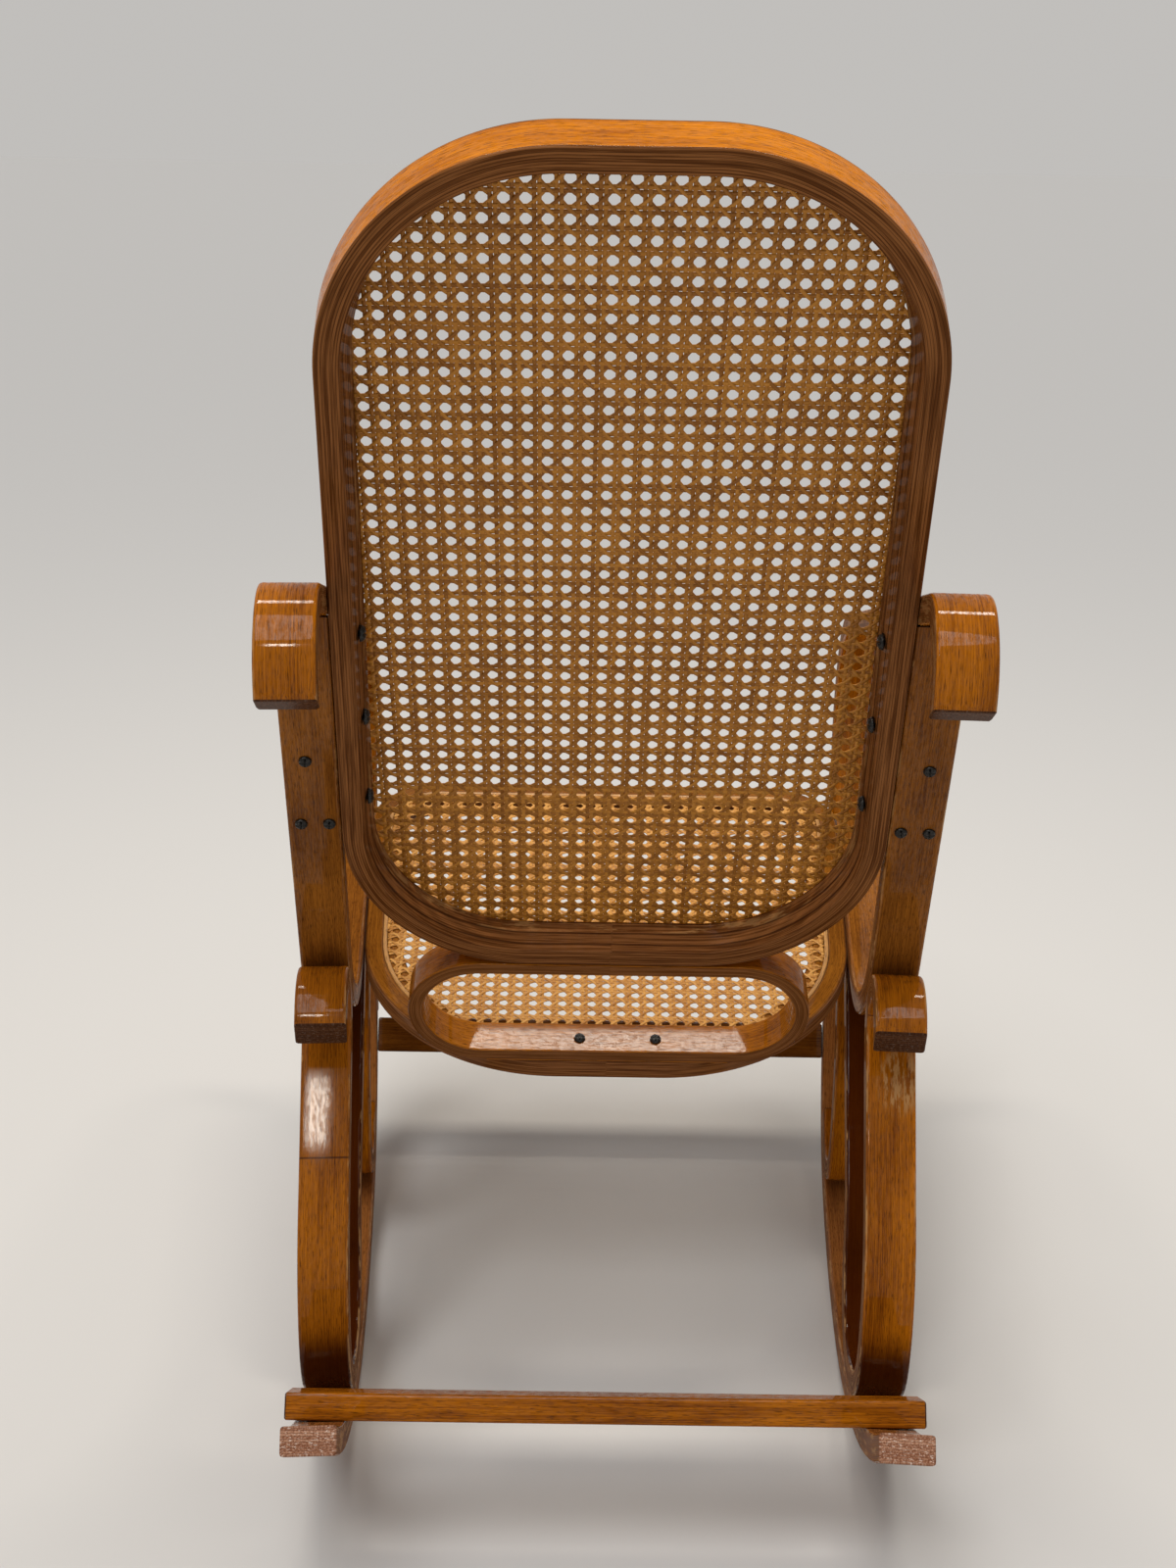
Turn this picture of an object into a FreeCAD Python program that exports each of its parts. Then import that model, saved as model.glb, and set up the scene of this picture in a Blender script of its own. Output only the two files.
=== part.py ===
import FreeCAD, Part
import math
import os
import Sketcher

# Bentwood rocking chair: two side frames of bent laminated ribbons, an upright hoop
# and a sloping seat ring that carry woven cane, an oval spacer and two stretchers.
# The chair faces +Y, the sitter's left is -X, and the origin is on the floor under
# the centre of the overall box. Side frames are drawn in their own plane, where
# "forward" runs from the tip of the runner tail and "up" from the floor. Places along
# the chair are given from the point where the runners touch the floor.

doc = FreeCAD.newDocument("BentwoodRocker")

VALUES = [
    # ribbons of the side frames
    ("ribbon_width", 39.0),
    ("ribbon_thickness", 20.0),
    ("end_round", 5.0),
    ("fit_gap", 0.3),
    ("side_offset", 206.0),
    ("splay_angle", 3.72),
    ("tail_behind", 414.9),
    # runner
    ("rocker_radius", 667.0),
    ("rocker_contact", 430.0),
    ("rocker_tail_heading", -40.2),
    ("rocker_front_heading", 12.5),
    ("upsweep_radius", 190.0),
    ("upsweep_heading", 72.0),
    ("upsweep_straight", 65.0),
    # arm
    ("arm_scroll_behind", 348.0),
    ("arm_scroll_up", 697.0),
    ("arm_scroll_radius", 43.0),
    ("arm_tip_heading", 92.0),
    ("arm_tip_straight", 12.0),
    ("arm_heading", -15.0),
    ("arm_front_radius", 120.0),
    # side rail: upright, waist and seat rail
    ("recline", 24.3),
    ("back_behind", 146.0),
    ("back_above_rail", 78.95),
    ("waist_radius", 140.0),
    ("rail_heading", 9.0),
    ("rail_up", 321.05),
    ("rail_front_radius", 55.0),
    ("rail_front_lap", 58.0),
    # brace under the arm, in front of the upright
    ("brace_behind", 65.0),
    ("brace_radius", 45.0),
    ("brace_straight", 95.0),
    # lower scroll
    ("curl_radius", 36.0),
    ("curl_bearing", 211.05),
    ("curl_tip_heading", 56.0),
    ("curl_tip_straight", 12.0),
    ("curl_exit_heading", -128.0),
    ("sweep_radius", 130.0),
    ("sweep_heading", -80.0),
    ("belly_radius", 72.0),
    ("belly_contact_turn", 2.5),
    ("belly_rise_heading", 78.0),
    ("belly_top_radius", 110.0),
    ("belly_top_heading", 44.0),
    ("rail_joint_radius", 60.0),
    ("scroll_lap", 40.0),
    # front brace
    ("foot_start_heading", 37.65),
    ("foot_contact_turn", 12.0),
    ("foot_radius", 50.0),
    ("foot_top_up", 140.0),
    ("front_brace_radius", 150.0),
    ("front_brace_heading", 60.0),
    ("front_brace_lap", 30.0),
    # stretchers
    ("stretcher_width", 35.0),
    ("stretcher_thickness", 20.0),
    ("rear_stretcher_behind", 336.0),
    ("rear_stretcher_length", 474.0),
    ("rear_stretcher_lift", 1.1),
    ("front_stretcher_heading", 64.0),
    ("stretcher_round", 3.0),
    # back hoop
    ("hoop_height", 673.0),
    ("hoop_top_radius", 150.0),
    ("hoop_bottom_radius", 135.0),
    ("hoop_thickness", 16.0),
    ("hoop_depth", 33.0),
    ("hoop_inner_draft", 10.3),
    # cane and its seat in both frames
    ("rebate_width", 9.0),
    ("rebate_depth", 5.0),
    ("groove_width", 4.6),
    ("groove_depth", 4.0),
    ("cane_thickness", 1.6),
    ("cane_clearance", 0.25),
    ("net_pitch", 40.0),
    ("net_strand", 10.0),
    # spacer between hoop and seat
    ("spacer_width", 325.0),
    ("spacer_seat_gap", 0.8),
    ("spacer_thickness", 12.0),
    ("spacer_depth", 30.0),
    ("spacer_foot", 8.0),
    ("spacer_foot_half", 100.0),
    # seat ring
    ("seat_slope", 13.0),
    ("seat_rear_behind", 96.8),
    ("seat_below_rail", 30.55),
    ("seat_length", 433.0),
    ("seat_thickness", 18.0),
    ("seat_rear_radius", 175.0),
    ("seat_front_radius", 65.0),
    ("seat_ring_width", 34.0),
    ("seat_rebate_inset", 16.0),
]

sheet = doc.addObject("Spreadsheet::Sheet", "Values")
for row, (alias, number) in enumerate(VALUES, 1):
    sheet.set("A%d" % row, alias)
    sheet.set("B%d" % row, str(number))
    sheet.setAlias("B%d" % row, alias)
doc.recompute()


def val(alias):
    return float(sheet.get(alias))


def bound(alias):
    return "Values." + alias


# plane geometry: headings in degrees, 0 is forward and 90 is up

FULL_TURN = 360.0
HALF_TURN = 180.0


def along(heading):
    turn = math.radians(heading)
    return (math.cos(turn), math.sin(turn))


def left_of(heading):
    turn = math.radians(heading)
    return (-math.sin(turn), math.cos(turn))


def step(point, direction, distance):
    return (point[0] + distance * direction[0], point[1] + distance * direction[1])


def dot(first, second):
    return first[0] * second[0] + first[1] * second[1]


def minus(first, second):
    return (first[0] - second[0], first[1] - second[1])


def cross_point(point, heading, other, other_heading):
    """Where a line through point meets a line through other."""
    normal = left_of(other_heading)
    distance = dot(minus(other, point), normal) / dot(along(heading), normal)
    return step(point, along(heading), distance)


class RibbonPath:
    """Centre line of a bent ribbon, made of tangent lines and arcs."""

    def __init__(self, point, heading):
        self.point = point
        self.heading = heading
        self.start_heading = heading
        self.runs = []

    def line(self, length):
        end = step(self.point, along(self.heading), length)
        self.runs.append(("line", self.point, end, self.heading))
        self.point = end
        return self

    def line_to(self, target):
        return self.line(dot(minus(target, self.point), along(self.heading)))

    def arc(self, radius, heading):
        """Bend to a new heading, to the left if it is larger than the present one."""
        turn = 1.0 if heading > self.heading else -1.0
        centre = step(self.point, left_of(self.heading), turn * radius)
        self.runs.append(("arc", centre, radius, turn, self.heading, heading))
        self.point = step(centre, left_of(heading), -turn * radius)
        self.heading = heading
        return self

    def line_and_arc(self, radius, heading, target):
        """Straight on until an arc of this radius ends on the line through target."""
        turn = 1.0 if heading > self.heading else -1.0
        normal = left_of(heading)
        offset = dot(minus(self.point, target), normal)
        offset += turn * radius * (dot(left_of(self.heading), normal) - 1.0)
        self.line(-offset / dot(along(self.heading), normal))
        return self.arc(radius, heading)


def offset_run(run, offset):
    """One run of the path moved to its left by offset, as (curve, start, end)."""
    if run[0] == "line":
        normal = left_of(run[3])
        return ("line", step(run[1], normal, offset), step(run[2], normal, offset))
    kind, centre, radius, turn, heading, new_heading = run
    size = radius - turn * offset
    return ("arc", centre, size, turn, heading, new_heading)


def reverse_run(run):
    if run[0] == "line":
        return ("line", run[2], run[1])
    return ("arc", run[1], run[2], -run[3], run[5] + HALF_TURN, run[4] + HALF_TURN)


def run_ends(run):
    if run[0] == "line":
        return run[1], run[2]
    kind, centre, size, turn, heading, new_heading = run
    first = step(centre, left_of(heading), -turn * size)
    last = step(centre, left_of(new_heading), -turn * size)
    return first, last


def square_end(point, heading, thickness, rounding):
    """Rounded end that leaves the left side and comes back on the right side."""
    half = thickness / 2.0
    normal = left_of(heading)
    left_centre = step(point, normal, half - rounding)
    right_centre = step(point, normal, rounding - half)
    first = ("arc", left_centre, rounding, -1.0, heading, heading - 90.0)
    last = ("arc", right_centre, rounding, -1.0, heading - 90.0, heading - HALF_TURN)
    flat = ("line", run_ends(first)[1], run_ends(last)[0])
    return [first, flat, last]


def ribbon_outline(path, thickness, rounding, start_cut=None):
    """Closed outline of a ribbon. start_cut is the heading of an oblique start cut."""
    half = thickness / 2.0
    left = [offset_run(run, half) for run in path.runs]
    right = [reverse_run(offset_run(run, -half)) for run in reversed(path.runs)]
    chain = list(left)
    chain += square_end(path.point, path.heading, thickness, rounding)
    chain += right
    if start_cut is None:
        start = run_ends(("line", path.runs[0][1], path.runs[0][1]))[0]
        if path.runs[0][0] == "arc":
            start = run_ends(path.runs[0])[0]
        chain += square_end(start, path.start_heading + HALF_TURN, thickness, rounding)
        return chain
    start = path.runs[0][1]
    cut = along(start_cut)
    reach = half / dot(cut, left_of(path.start_heading))
    left_start = step(start, cut, reach)
    right_start = step(start, cut, -reach)
    chain[0] = ("line", left_start, chain[0][2])
    chain[-1] = ("line", chain[-1][1], right_start)
    chain.append(("line", right_start, left_start))
    return chain


def draw(sketch, chain):
    """Put a closed chain of lines and arcs into a sketch and join its ends."""
    shapes = []
    ends = []
    for run in chain:
        if run[0] == "line":
            start = FreeCAD.Vector(run[1][0], run[1][1], 0)
            end = FreeCAD.Vector(run[2][0], run[2][1], 0)
            shapes.append(Part.LineSegment(start, end))
            ends.append((1, 2))
            continue
        kind, centre, size, turn, heading, new_heading = run
        circle = Part.Circle(FreeCAD.Vector(centre[0], centre[1], 0), FreeCAD.Vector(0, 0, 1), size)
        if turn > 0:
            start = math.radians(heading - 90.0)
            shapes.append(Part.ArcOfCircle(circle, start, math.radians(new_heading - 90.0)))
            ends.append((1, 2))
        else:
            start = math.radians(new_heading + 90.0)
            shapes.append(Part.ArcOfCircle(circle, start, math.radians(heading + 90.0)))
            ends.append((2, 1))
    numbers = sketch.addGeometry(shapes, False)
    joints = []
    count = len(numbers)
    for index in range(count):
        after = (index + 1) % count
        joints.append(Sketcher.Constraint("Coincident", numbers[index], ends[index][1],
                                          numbers[after], ends[after][0]))
    sketch.addConstraint(joints)


def new_sketch(body, name, role):
    sketch = body.newObject("Sketcher::SketchObject", name)
    plane = [item for item in body.Origin.OriginFeatures if item.Role == role][0]
    sketch.AttachmentSupport = (plane, [""])
    sketch.MapMode = "FlatFace"
    return sketch


def new_body(name):
    body = doc.addObject("PartDesign::Body", name)
    body.Label = name
    return body


# side frames

SIDES = {"left": -1.0, "right": 1.0}
half_thickness = val("ribbon_thickness") / 2.0
lap = val("ribbon_thickness") + val("fit_gap")
splay = math.tan(math.radians(val("splay_angle")))


def side_placement(side):
    sign = SIDES[side]
    turn = FreeCAD.Rotation(FreeCAD.Vector(0, 0, 1), -sign * val("splay_angle"))
    return FreeCAD.Placement(FreeCAD.Vector(sign * val("side_offset"), -val("tail_behind"), 0), turn)


def inner_half(forward):
    """Half the clear width between the side frames."""
    across = val("ribbon_width") / 2.0 / math.cos(math.radians(val("splay_angle")))
    return val("side_offset") - across + splay * forward


def ribbon(name, side, path, start_cut=None):
    body = new_body(side + "_" + name)
    sketch = new_sketch(body, body.Name + "_line", "YZ_Plane")
    draw(sketch, ribbon_outline(path, val("ribbon_thickness"), val("end_round"), start_cut))
    pad = body.newObject("PartDesign::Pad", body.Name + "_pad")
    pad.Profile = sketch
    pad.SideType = "Symmetric"
    pad.setExpression("Length", bound("ribbon_width"))
    body.Placement = side_placement(side)
    return body


rocker_centre = (val("rocker_contact"), val("rocker_radius"))
rocker_line = val("rocker_radius") - half_thickness
rocker_top = val("rocker_radius") - val("ribbon_thickness")


def rocker_point(heading, radius):
    return step(rocker_centre, left_of(heading), -radius)


def runner_path():
    path = RibbonPath(rocker_point(val("rocker_tail_heading"), rocker_line), val("rocker_tail_heading"))
    path.arc(rocker_line, val("rocker_front_heading"))
    path.arc(val("upsweep_radius"), val("upsweep_heading"))
    return path.line(val("upsweep_straight"))


upsweep_centre = step(rocker_point(val("rocker_front_heading"), rocker_line),
                      left_of(val("rocker_front_heading")), val("upsweep_radius"))
upsweep_top = step(upsweep_centre, left_of(val("upsweep_heading")), -val("upsweep_radius"))
front_heading = val("upsweep_heading") - HALF_TURN
arm_foot = step(upsweep_top, left_of(val("upsweep_heading")), -lap)


def from_contact(behind):
    """Place along the chair, given how far behind the floor contact it lies."""
    return val("rocker_contact") - val(behind)


scroll_centre = (from_contact("arm_scroll_behind"), val("arm_scroll_up"))


def arm_path():
    radius = val("arm_scroll_radius")
    heading = val("arm_tip_heading")
    bend_start = step(scroll_centre, left_of(heading), radius)
    path = RibbonPath(step(bend_start, along(heading), -val("arm_tip_straight")), heading)
    path.line(val("arm_tip_straight"))
    path.arc(radius, val("arm_heading"))
    path.line_and_arc(val("arm_front_radius"), front_heading, arm_foot)
    return path.line_to(arm_foot)


arm_line_start = step(scroll_centre, left_of(val("arm_heading")), val("arm_scroll_radius"))
arm_underside = step(arm_line_start, left_of(val("arm_heading")), -half_thickness - val("fit_gap"))
arm_lap_line = step(arm_line_start, left_of(val("arm_heading")), -lap)

upright_heading = val("recline") - 90.0
back_corner = (from_contact("back_behind"), val("rail_up") + val("back_above_rail"))
upright_line = step(back_corner, left_of(upright_heading), half_thickness)
rail_line = (val("rocker_contact"), val("rail_up"))
rail_lap_line = step(rail_line, left_of(val("rail_heading")), -lap)


def side_rail_path():
    start = cross_point(upright_line, upright_heading, arm_underside, val("arm_heading"))
    path = RibbonPath(start, upright_heading)
    path.line_and_arc(val("waist_radius"), val("rail_heading"), rail_line)
    path.line_and_arc(val("rail_front_radius"), front_heading, upsweep_top)
    return path.line(val("rail_front_lap"))


def waist_centre():
    path = RibbonPath(upright_line, upright_heading)
    path.line_and_arc(val("waist_radius"), val("rail_heading"), rail_line)
    return path.runs[-1][1]


def arm_brace_path():
    heading = val("arm_heading") + HALF_TURN
    run = (from_contact("brace_behind") - arm_lap_line[0]) / math.cos(math.radians(val("arm_heading")))
    path = RibbonPath(step(arm_lap_line, along(val("arm_heading")), run), heading)
    target = step(upright_line, left_of(upright_heading), lap)
    path.line_and_arc(val("brace_radius"), upright_heading + FULL_TURN, target)
    return path.line(val("brace_straight"))


def lower_scroll_path():
    reach = val("waist_radius") + val("curl_radius") + 2.0 * half_thickness + val("fit_gap")
    curl_centre = step(waist_centre(), along(val("curl_bearing")), reach)
    heading = val("curl_tip_heading")
    bend_start = step(curl_centre, left_of(heading), val("curl_radius"))
    path = RibbonPath(step(bend_start, along(heading), -val("curl_tip_straight")), heading)
    path.line(val("curl_tip_straight"))
    path.arc(val("curl_radius"), val("curl_exit_heading"))
    # the straight run is as long as brings the belly arc to rest on the runner
    contact = rocker_top - val("fit_gap") - val("belly_radius") - half_thickness
    offset = step((0.0, 0.0), left_of(path.heading), val("sweep_radius"))
    offset = step(offset, left_of(val("sweep_heading")), val("belly_radius") - val("sweep_radius"))
    start = minus(step(path.point, offset, 1.0), rocker_centre)
    half_b = dot(start, along(path.heading))
    rest = dot(start, start) - contact * contact
    path.line(-half_b + math.sqrt(half_b * half_b - rest))
    path.arc(val("sweep_radius"), val("sweep_heading"))
    belly = step(path.point, left_of(val("sweep_heading")), val("belly_radius"))
    out = minus(belly, rocker_centre)
    touch = math.degrees(math.atan2(out[1], out[0])) + 90.0
    path.arc(val("belly_radius"), touch)
    path.arc(rocker_top - val("fit_gap") - half_thickness, touch + val("belly_contact_turn"))
    path.arc(val("belly_radius"), val("belly_rise_heading"))
    path.arc(val("belly_top_radius"), val("belly_top_heading"))
    path.line_and_arc(val("rail_joint_radius"), val("rail_heading"), rail_lap_line)
    return path.line(val("scroll_lap"))


def front_brace_path():
    heading = val("foot_start_heading") + HALF_TURN
    radius = val("upsweep_radius") - lap
    path = RibbonPath(step(upsweep_centre, left_of(heading), radius), heading)
    path.arc(radius, heading - val("foot_contact_turn"))
    path.arc(val("foot_radius"), 90.0)
    path.line(val("foot_top_up") - path.point[1])
    path.arc(val("front_brace_radius"), val("front_brace_heading"))
    path.line_and_arc(val("rail_joint_radius"), val("rail_heading"), rail_lap_line)
    return path.line(val("front_brace_lap"))


pieces = {}
paths = {
    "arm": arm_path(),
    "side_rail": side_rail_path(),
    "lower_scroll": lower_scroll_path(),
    "runner": runner_path(),
    "front_brace": front_brace_path(),
    "arm_brace": arm_brace_path(),
}
cuts = {
    "arm": val("arm_tip_heading") + 58.0,
    "side_rail": val("arm_heading"),
    "lower_scroll": val("curl_tip_heading") + 58.0,
}
for side in SIDES:
    for name in paths:
        pieces[side + "_" + name] = ribbon(name, side, paths[name], cuts.get(name))


# flat outlines shared by the hoop, the seat ring and their cane

def trapezoid(bottom_half, top_half, bottom, top, bottom_radius, top_radius, inset=0.0):
    """Rounded trapezoid, counter-clockwise from the lower right corner arc."""
    lean = math.degrees(math.atan2(top_half - bottom_half, top - bottom))
    right_heading = 90.0 - lean
    foot = (bottom_half, bottom)
    foot = step(foot, left_of(right_heading), inset)
    low = bottom + inset
    high = top - inset
    low_radius = bottom_radius - inset
    high_radius = top_radius - inset
    low_corner = cross_point(foot, right_heading, (0.0, low), 0.0)
    high_corner = cross_point(foot, right_heading, (0.0, high), 0.0)
    low_back = low_radius * math.tan(math.radians(right_heading / 2.0))
    high_back = high_radius * math.tan(math.radians((HALF_TURN - right_heading) / 2.0))
    low_half = low_corner[0] - low_back
    high_half = high_corner[0] - high_back
    path = RibbonPath((-low_half, low), 0.0)
    path.line(2.0 * low_half)
    path.arc(low_radius, right_heading)
    side_end = step(high_corner, along(right_heading), -high_back)
    path.line_to(side_end)
    path.arc(high_radius, HALF_TURN)
    path.line(2.0 * high_half)
    path.arc(high_radius, FULL_TURN - right_heading)
    path.line_to(step((-low_corner[0], low), along(-right_heading), -low_back))
    path.arc(low_radius, FULL_TURN)
    return path


def chain_of(path):
    return [offset_run(run, 0.0) for run in path.runs]


def wire_of(path):
    edges = []
    for run in path.runs:
        if run[0] == "line":
            if math.dist(run[1], run[2]) < 1e-6:
                continue
            start = FreeCAD.Vector(run[1][0], run[1][1], 0)
            edges.append(Part.makeLine(start, FreeCAD.Vector(run[2][0], run[2][1], 0)))
            continue
        kind, centre, size, turn, heading, new_heading = run
        points = []
        for share in (0.0, 0.5, 1.0):
            bearing = heading + share * (new_heading - heading)
            spot = step(centre, left_of(bearing), -turn * size)
            points.append(FreeCAD.Vector(spot[0], spot[1], 0))
        edges.append(Part.Arc(*points).toShape())
    return Part.Wire(edges)


def prism(wires, bottom, height):
    face = Part.makeFace(wires, "Part::FaceMakerBullseye")
    face.translate(FreeCAD.Vector(0, 0, bottom))
    return face.extrude(FreeCAD.Vector(0, 0, height))


def net_holes(outline, pitch, strand, box):
    """Square gaps of a net on a regular pitch that keep clear of the outline."""
    region = Part.Face(wire_of(outline))
    left, right, low, high = box
    columns = int((right - left) / pitch)
    rows = int((high - low) / pitch)
    first_x = (left + right) / 2.0 - (columns - 1) * pitch / 2.0
    first_y = (low + high) / 2.0 - (rows - 1) * pitch / 2.0
    half = (pitch - strand) / 2.0
    holes = []
    for column in range(columns):
        for row in range(rows):
            x = first_x + column * pitch
            y = first_y + row * pitch
            corners = [(x - half, y - half), (x + half, y - half),
                       (x + half, y + half), (x - half, y + half)]
            points = [FreeCAD.Vector(a, b, 0) for a, b in corners]
            if all(region.isInside(point, 1e-6, True) for point in points):
                holes.append(Part.makePolygon(points + [points[0]]))
    return holes


# back hoop, drawn upright with its rear face on the drawing plane

back_placement = FreeCAD.Placement(
    FreeCAD.Vector(0, back_corner[0] - val("tail_behind"), back_corner[1]),
    FreeCAD.Rotation(FreeCAD.Vector(1, 0, 0), val("recline")))
lean_back = math.radians(val("recline"))
hoop_bottom_half = inner_half(back_corner[0]) - val("fit_gap")
hoop_top_forward = back_corner[0] - val("hoop_height") * math.sin(lean_back)
hoop_top_half = inner_half(hoop_top_forward) - val("fit_gap")
hoop_flare = math.degrees(math.atan(splay * math.cos(lean_back)))


def hoop_outline(inset):
    return trapezoid(hoop_bottom_half, hoop_top_half, 0.0, val("hoop_height"),
                     val("hoop_bottom_radius"), val("hoop_top_radius"), inset)


def pad_forward(body, sketch, name, length, taper=0.0):
    pad = body.newObject("PartDesign::Pad", name)
    pad.Profile = sketch
    pad.Reversed = True
    pad.setExpression("Length", bound(length))
    pad.TaperAngle = taper
    doc.recompute()
    return pad


def pocket_forward(body, sketch, name, length, taper=0.0, reverse=False):
    before = body.Shape.Volume
    pocket = body.newObject("PartDesign::Pocket", name)
    pocket.Profile = sketch
    pocket.Reversed = reverse
    pocket.setExpression("Length", length)
    pocket.TaperAngle = taper
    doc.recompute()
    if body.Shape.Volume >= before - 1.0:
        raise RuntimeError(name + " cuts nothing")
    return pocket


hoop = new_body("back_frame")
hoop_sketch = new_sketch(hoop, "back_frame_outer", "XZ_Plane")
draw(hoop_sketch, chain_of(hoop_outline(0.0)))
pad_forward(hoop, hoop_sketch, "back_frame_pad", "hoop_depth", hoop_flare)
hoop_inner = new_sketch(hoop, "back_frame_inner", "XZ_Plane")
draw(hoop_inner, chain_of(hoop_outline(val("hoop_thickness"))))
pocket_forward(hoop, hoop_inner, "back_frame_opening", bound("hoop_depth"), -val("hoop_inner_draft"))

inner_shift = val("hoop_depth") * math.tan(math.radians(val("hoop_inner_draft")))
front_inset = val("hoop_thickness") + inner_shift
rebate_inset = front_inset - val("rebate_width")
hoop_rebate = new_sketch(hoop, "back_frame_rebate", "XZ_Plane")
hoop_rebate.setExpression("AttachmentOffset.Base.z", "-" + bound("hoop_depth"))
draw(hoop_rebate, chain_of(hoop_outline(rebate_inset)))
pocket_forward(hoop, hoop_rebate, "back_frame_seat", bound("rebate_depth"), 0.0, True)
hoop_groove = new_sketch(hoop, "back_frame_groove", "XZ_Plane")
hoop_groove.setExpression("AttachmentOffset.Base.z", "-(Values.hoop_depth - Values.rebate_depth)")
draw(hoop_groove, chain_of(hoop_outline(rebate_inset)))
draw(hoop_groove, chain_of(hoop_outline(rebate_inset + val("groove_width"))))
pocket_forward(hoop, hoop_groove, "back_frame_slot", bound("groove_depth"), 0.0, True)
hoop.Placement = back_placement
pieces["back_frame"] = hoop


def ring_feature(name, outer, inner, bottom, height, placement):
    """Plain ring between two outlines, as a shape of its own."""
    piece = doc.addObject("Part::Feature", name)
    piece.Shape = prism([wire_of(outer), wire_of(inner)], bottom, height)
    piece.Label = name
    piece.Placement = placement
    return piece


def net_feature(name, outline, box, bottom, placement):
    """Woven panel: one face with square gaps, as thick as the weave."""
    holes = net_holes(outline, val("net_pitch"), val("net_strand"), box)
    piece = doc.addObject("Part::Feature", name)
    piece.Shape = prism([wire_of(outline)] + holes, bottom, val("cane_thickness"))
    piece.Label = name
    piece.Placement = placement
    return piece


# a flat outline stands up on the hoop's plane when its own normal turns to face back
upright = FreeCAD.Placement(FreeCAD.Vector(0, 0, 0), FreeCAD.Rotation(FreeCAD.Vector(1, 0, 0), 90))
cane_level = val("hoop_depth") - val("rebate_depth")
cane_placement = back_placement.multiply(upright)
slot_inner = rebate_inset + val("groove_width")
cane_outline = hoop_outline(slot_inner + val("cane_clearance"))
clear_half = hoop_bottom_half - front_inset
pieces["back_cane"] = net_feature(
    "back_cane", cane_outline,
    (-clear_half, clear_half, front_inset, val("hoop_height") - front_inset),
    -cane_level - val("cane_thickness"), cane_placement)
spline_depth = val("groove_depth") + val("cane_thickness")
pieces["back_cane_spline"] = ring_feature(
    "back_cane_spline", hoop_outline(rebate_inset + val("cane_clearance")),
    hoop_outline(slot_inner - val("cane_clearance")), -cane_level - val("cane_thickness"),
    spline_depth - val("cane_clearance"), cane_placement)


# seat ring, drawn flat with its top face on the drawing plane

seat_corner = (from_contact("seat_rear_behind"), val("rail_up") - val("seat_below_rail"))
seat_placement = FreeCAD.Placement(
    FreeCAD.Vector(0, seat_corner[0] - val("tail_behind"), seat_corner[1]),
    FreeCAD.Rotation(FreeCAD.Vector(1, 0, 0), val("seat_slope")))
slope = math.radians(val("seat_slope"))
seat_rear_half = inner_half(seat_corner[0]) - val("fit_gap")
seat_front_half = inner_half(seat_corner[0] + val("seat_length") * math.cos(slope)) - val("fit_gap")


def seat_outline(inset):
    return trapezoid(seat_rear_half, seat_front_half, 0.0, val("seat_length"),
                     val("seat_rear_radius"), val("seat_front_radius"), inset)


seat = new_body("seat_frame")
seat_sketch = new_sketch(seat, "seat_frame_outer", "XY_Plane")
draw(seat_sketch, chain_of(seat_outline(0.0)))
pad_forward(seat, seat_sketch, "seat_frame_pad", "seat_thickness")
seat_inner = new_sketch(seat, "seat_frame_inner", "XY_Plane")
draw(seat_inner, chain_of(seat_outline(val("seat_ring_width"))))
pocket_forward(seat, seat_inner, "seat_frame_opening", bound("seat_thickness"))
seat_groove = new_sketch(seat, "seat_frame_groove", "XY_Plane")
draw(seat_groove, chain_of(seat_outline(val("seat_rebate_inset"))))
pocket_forward(seat, seat_groove, "seat_frame_seat", bound("cane_thickness"))
seat_slot = new_sketch(seat, "seat_frame_slot_line", "XY_Plane")
seat_slot.setExpression("AttachmentOffset.Base.z", "-" + bound("cane_thickness"))
draw(seat_slot, chain_of(seat_outline(val("seat_rebate_inset"))))
draw(seat_slot, chain_of(seat_outline(val("seat_rebate_inset") + val("groove_width"))))
pocket_forward(seat, seat_slot, "seat_frame_slot", bound("groove_depth"))
seat.Placement = seat_placement
pieces["seat_frame"] = seat

seat_slot_inner = val("seat_rebate_inset") + val("groove_width")
seat_clear = seat_front_half - val("seat_ring_width")
pieces["seat_cane"] = net_feature(
    "seat_cane", seat_outline(seat_slot_inner + val("cane_clearance")),
    (-seat_clear, seat_clear, val("seat_ring_width"), val("seat_length") - val("seat_ring_width")),
    -val("cane_thickness"), seat_placement)
pieces["seat_cane_spline"] = ring_feature(
    "seat_cane_spline", seat_outline(val("seat_rebate_inset") + val("cane_clearance")),
    seat_outline(seat_slot_inner - val("cane_clearance")), val("cane_clearance") - spline_depth,
    spline_depth - val("cane_clearance"), seat_placement)


# oval spacer under the hoop, its foot trimmed to the slope of the seat

spacer_body = new_body("spacer_blank")
seat_level = cross_point(back_corner, upright_heading, seat_corner, val("seat_slope"))
spacer_reach = math.dist(back_corner, seat_level) - val("spacer_seat_gap")
spacer_top = -val("fit_gap")
spacer_bottom = -spacer_reach
spacer_radius = (spacer_top - spacer_bottom) / 2.0
spacer_half = val("spacer_width") / 2.0 - spacer_radius
foot_low = spacer_bottom - val("spacer_foot")
oval = RibbonPath((-val("spacer_foot_half"), foot_low), 0.0)
oval.line(2.0 * val("spacer_foot_half"))
foot_line = [("line", (val("spacer_foot_half"), foot_low), (val("spacer_foot_half"), spacer_bottom))]
right_end = RibbonPath((val("spacer_foot_half"), spacer_bottom), 0.0)
right_end.line(spacer_half - val("spacer_foot_half"))
right_end.arc(spacer_radius, HALF_TURN)
right_end.line(2.0 * spacer_half)
right_end.arc(spacer_radius, FULL_TURN)
right_end.line(spacer_half - val("spacer_foot_half"))
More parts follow.
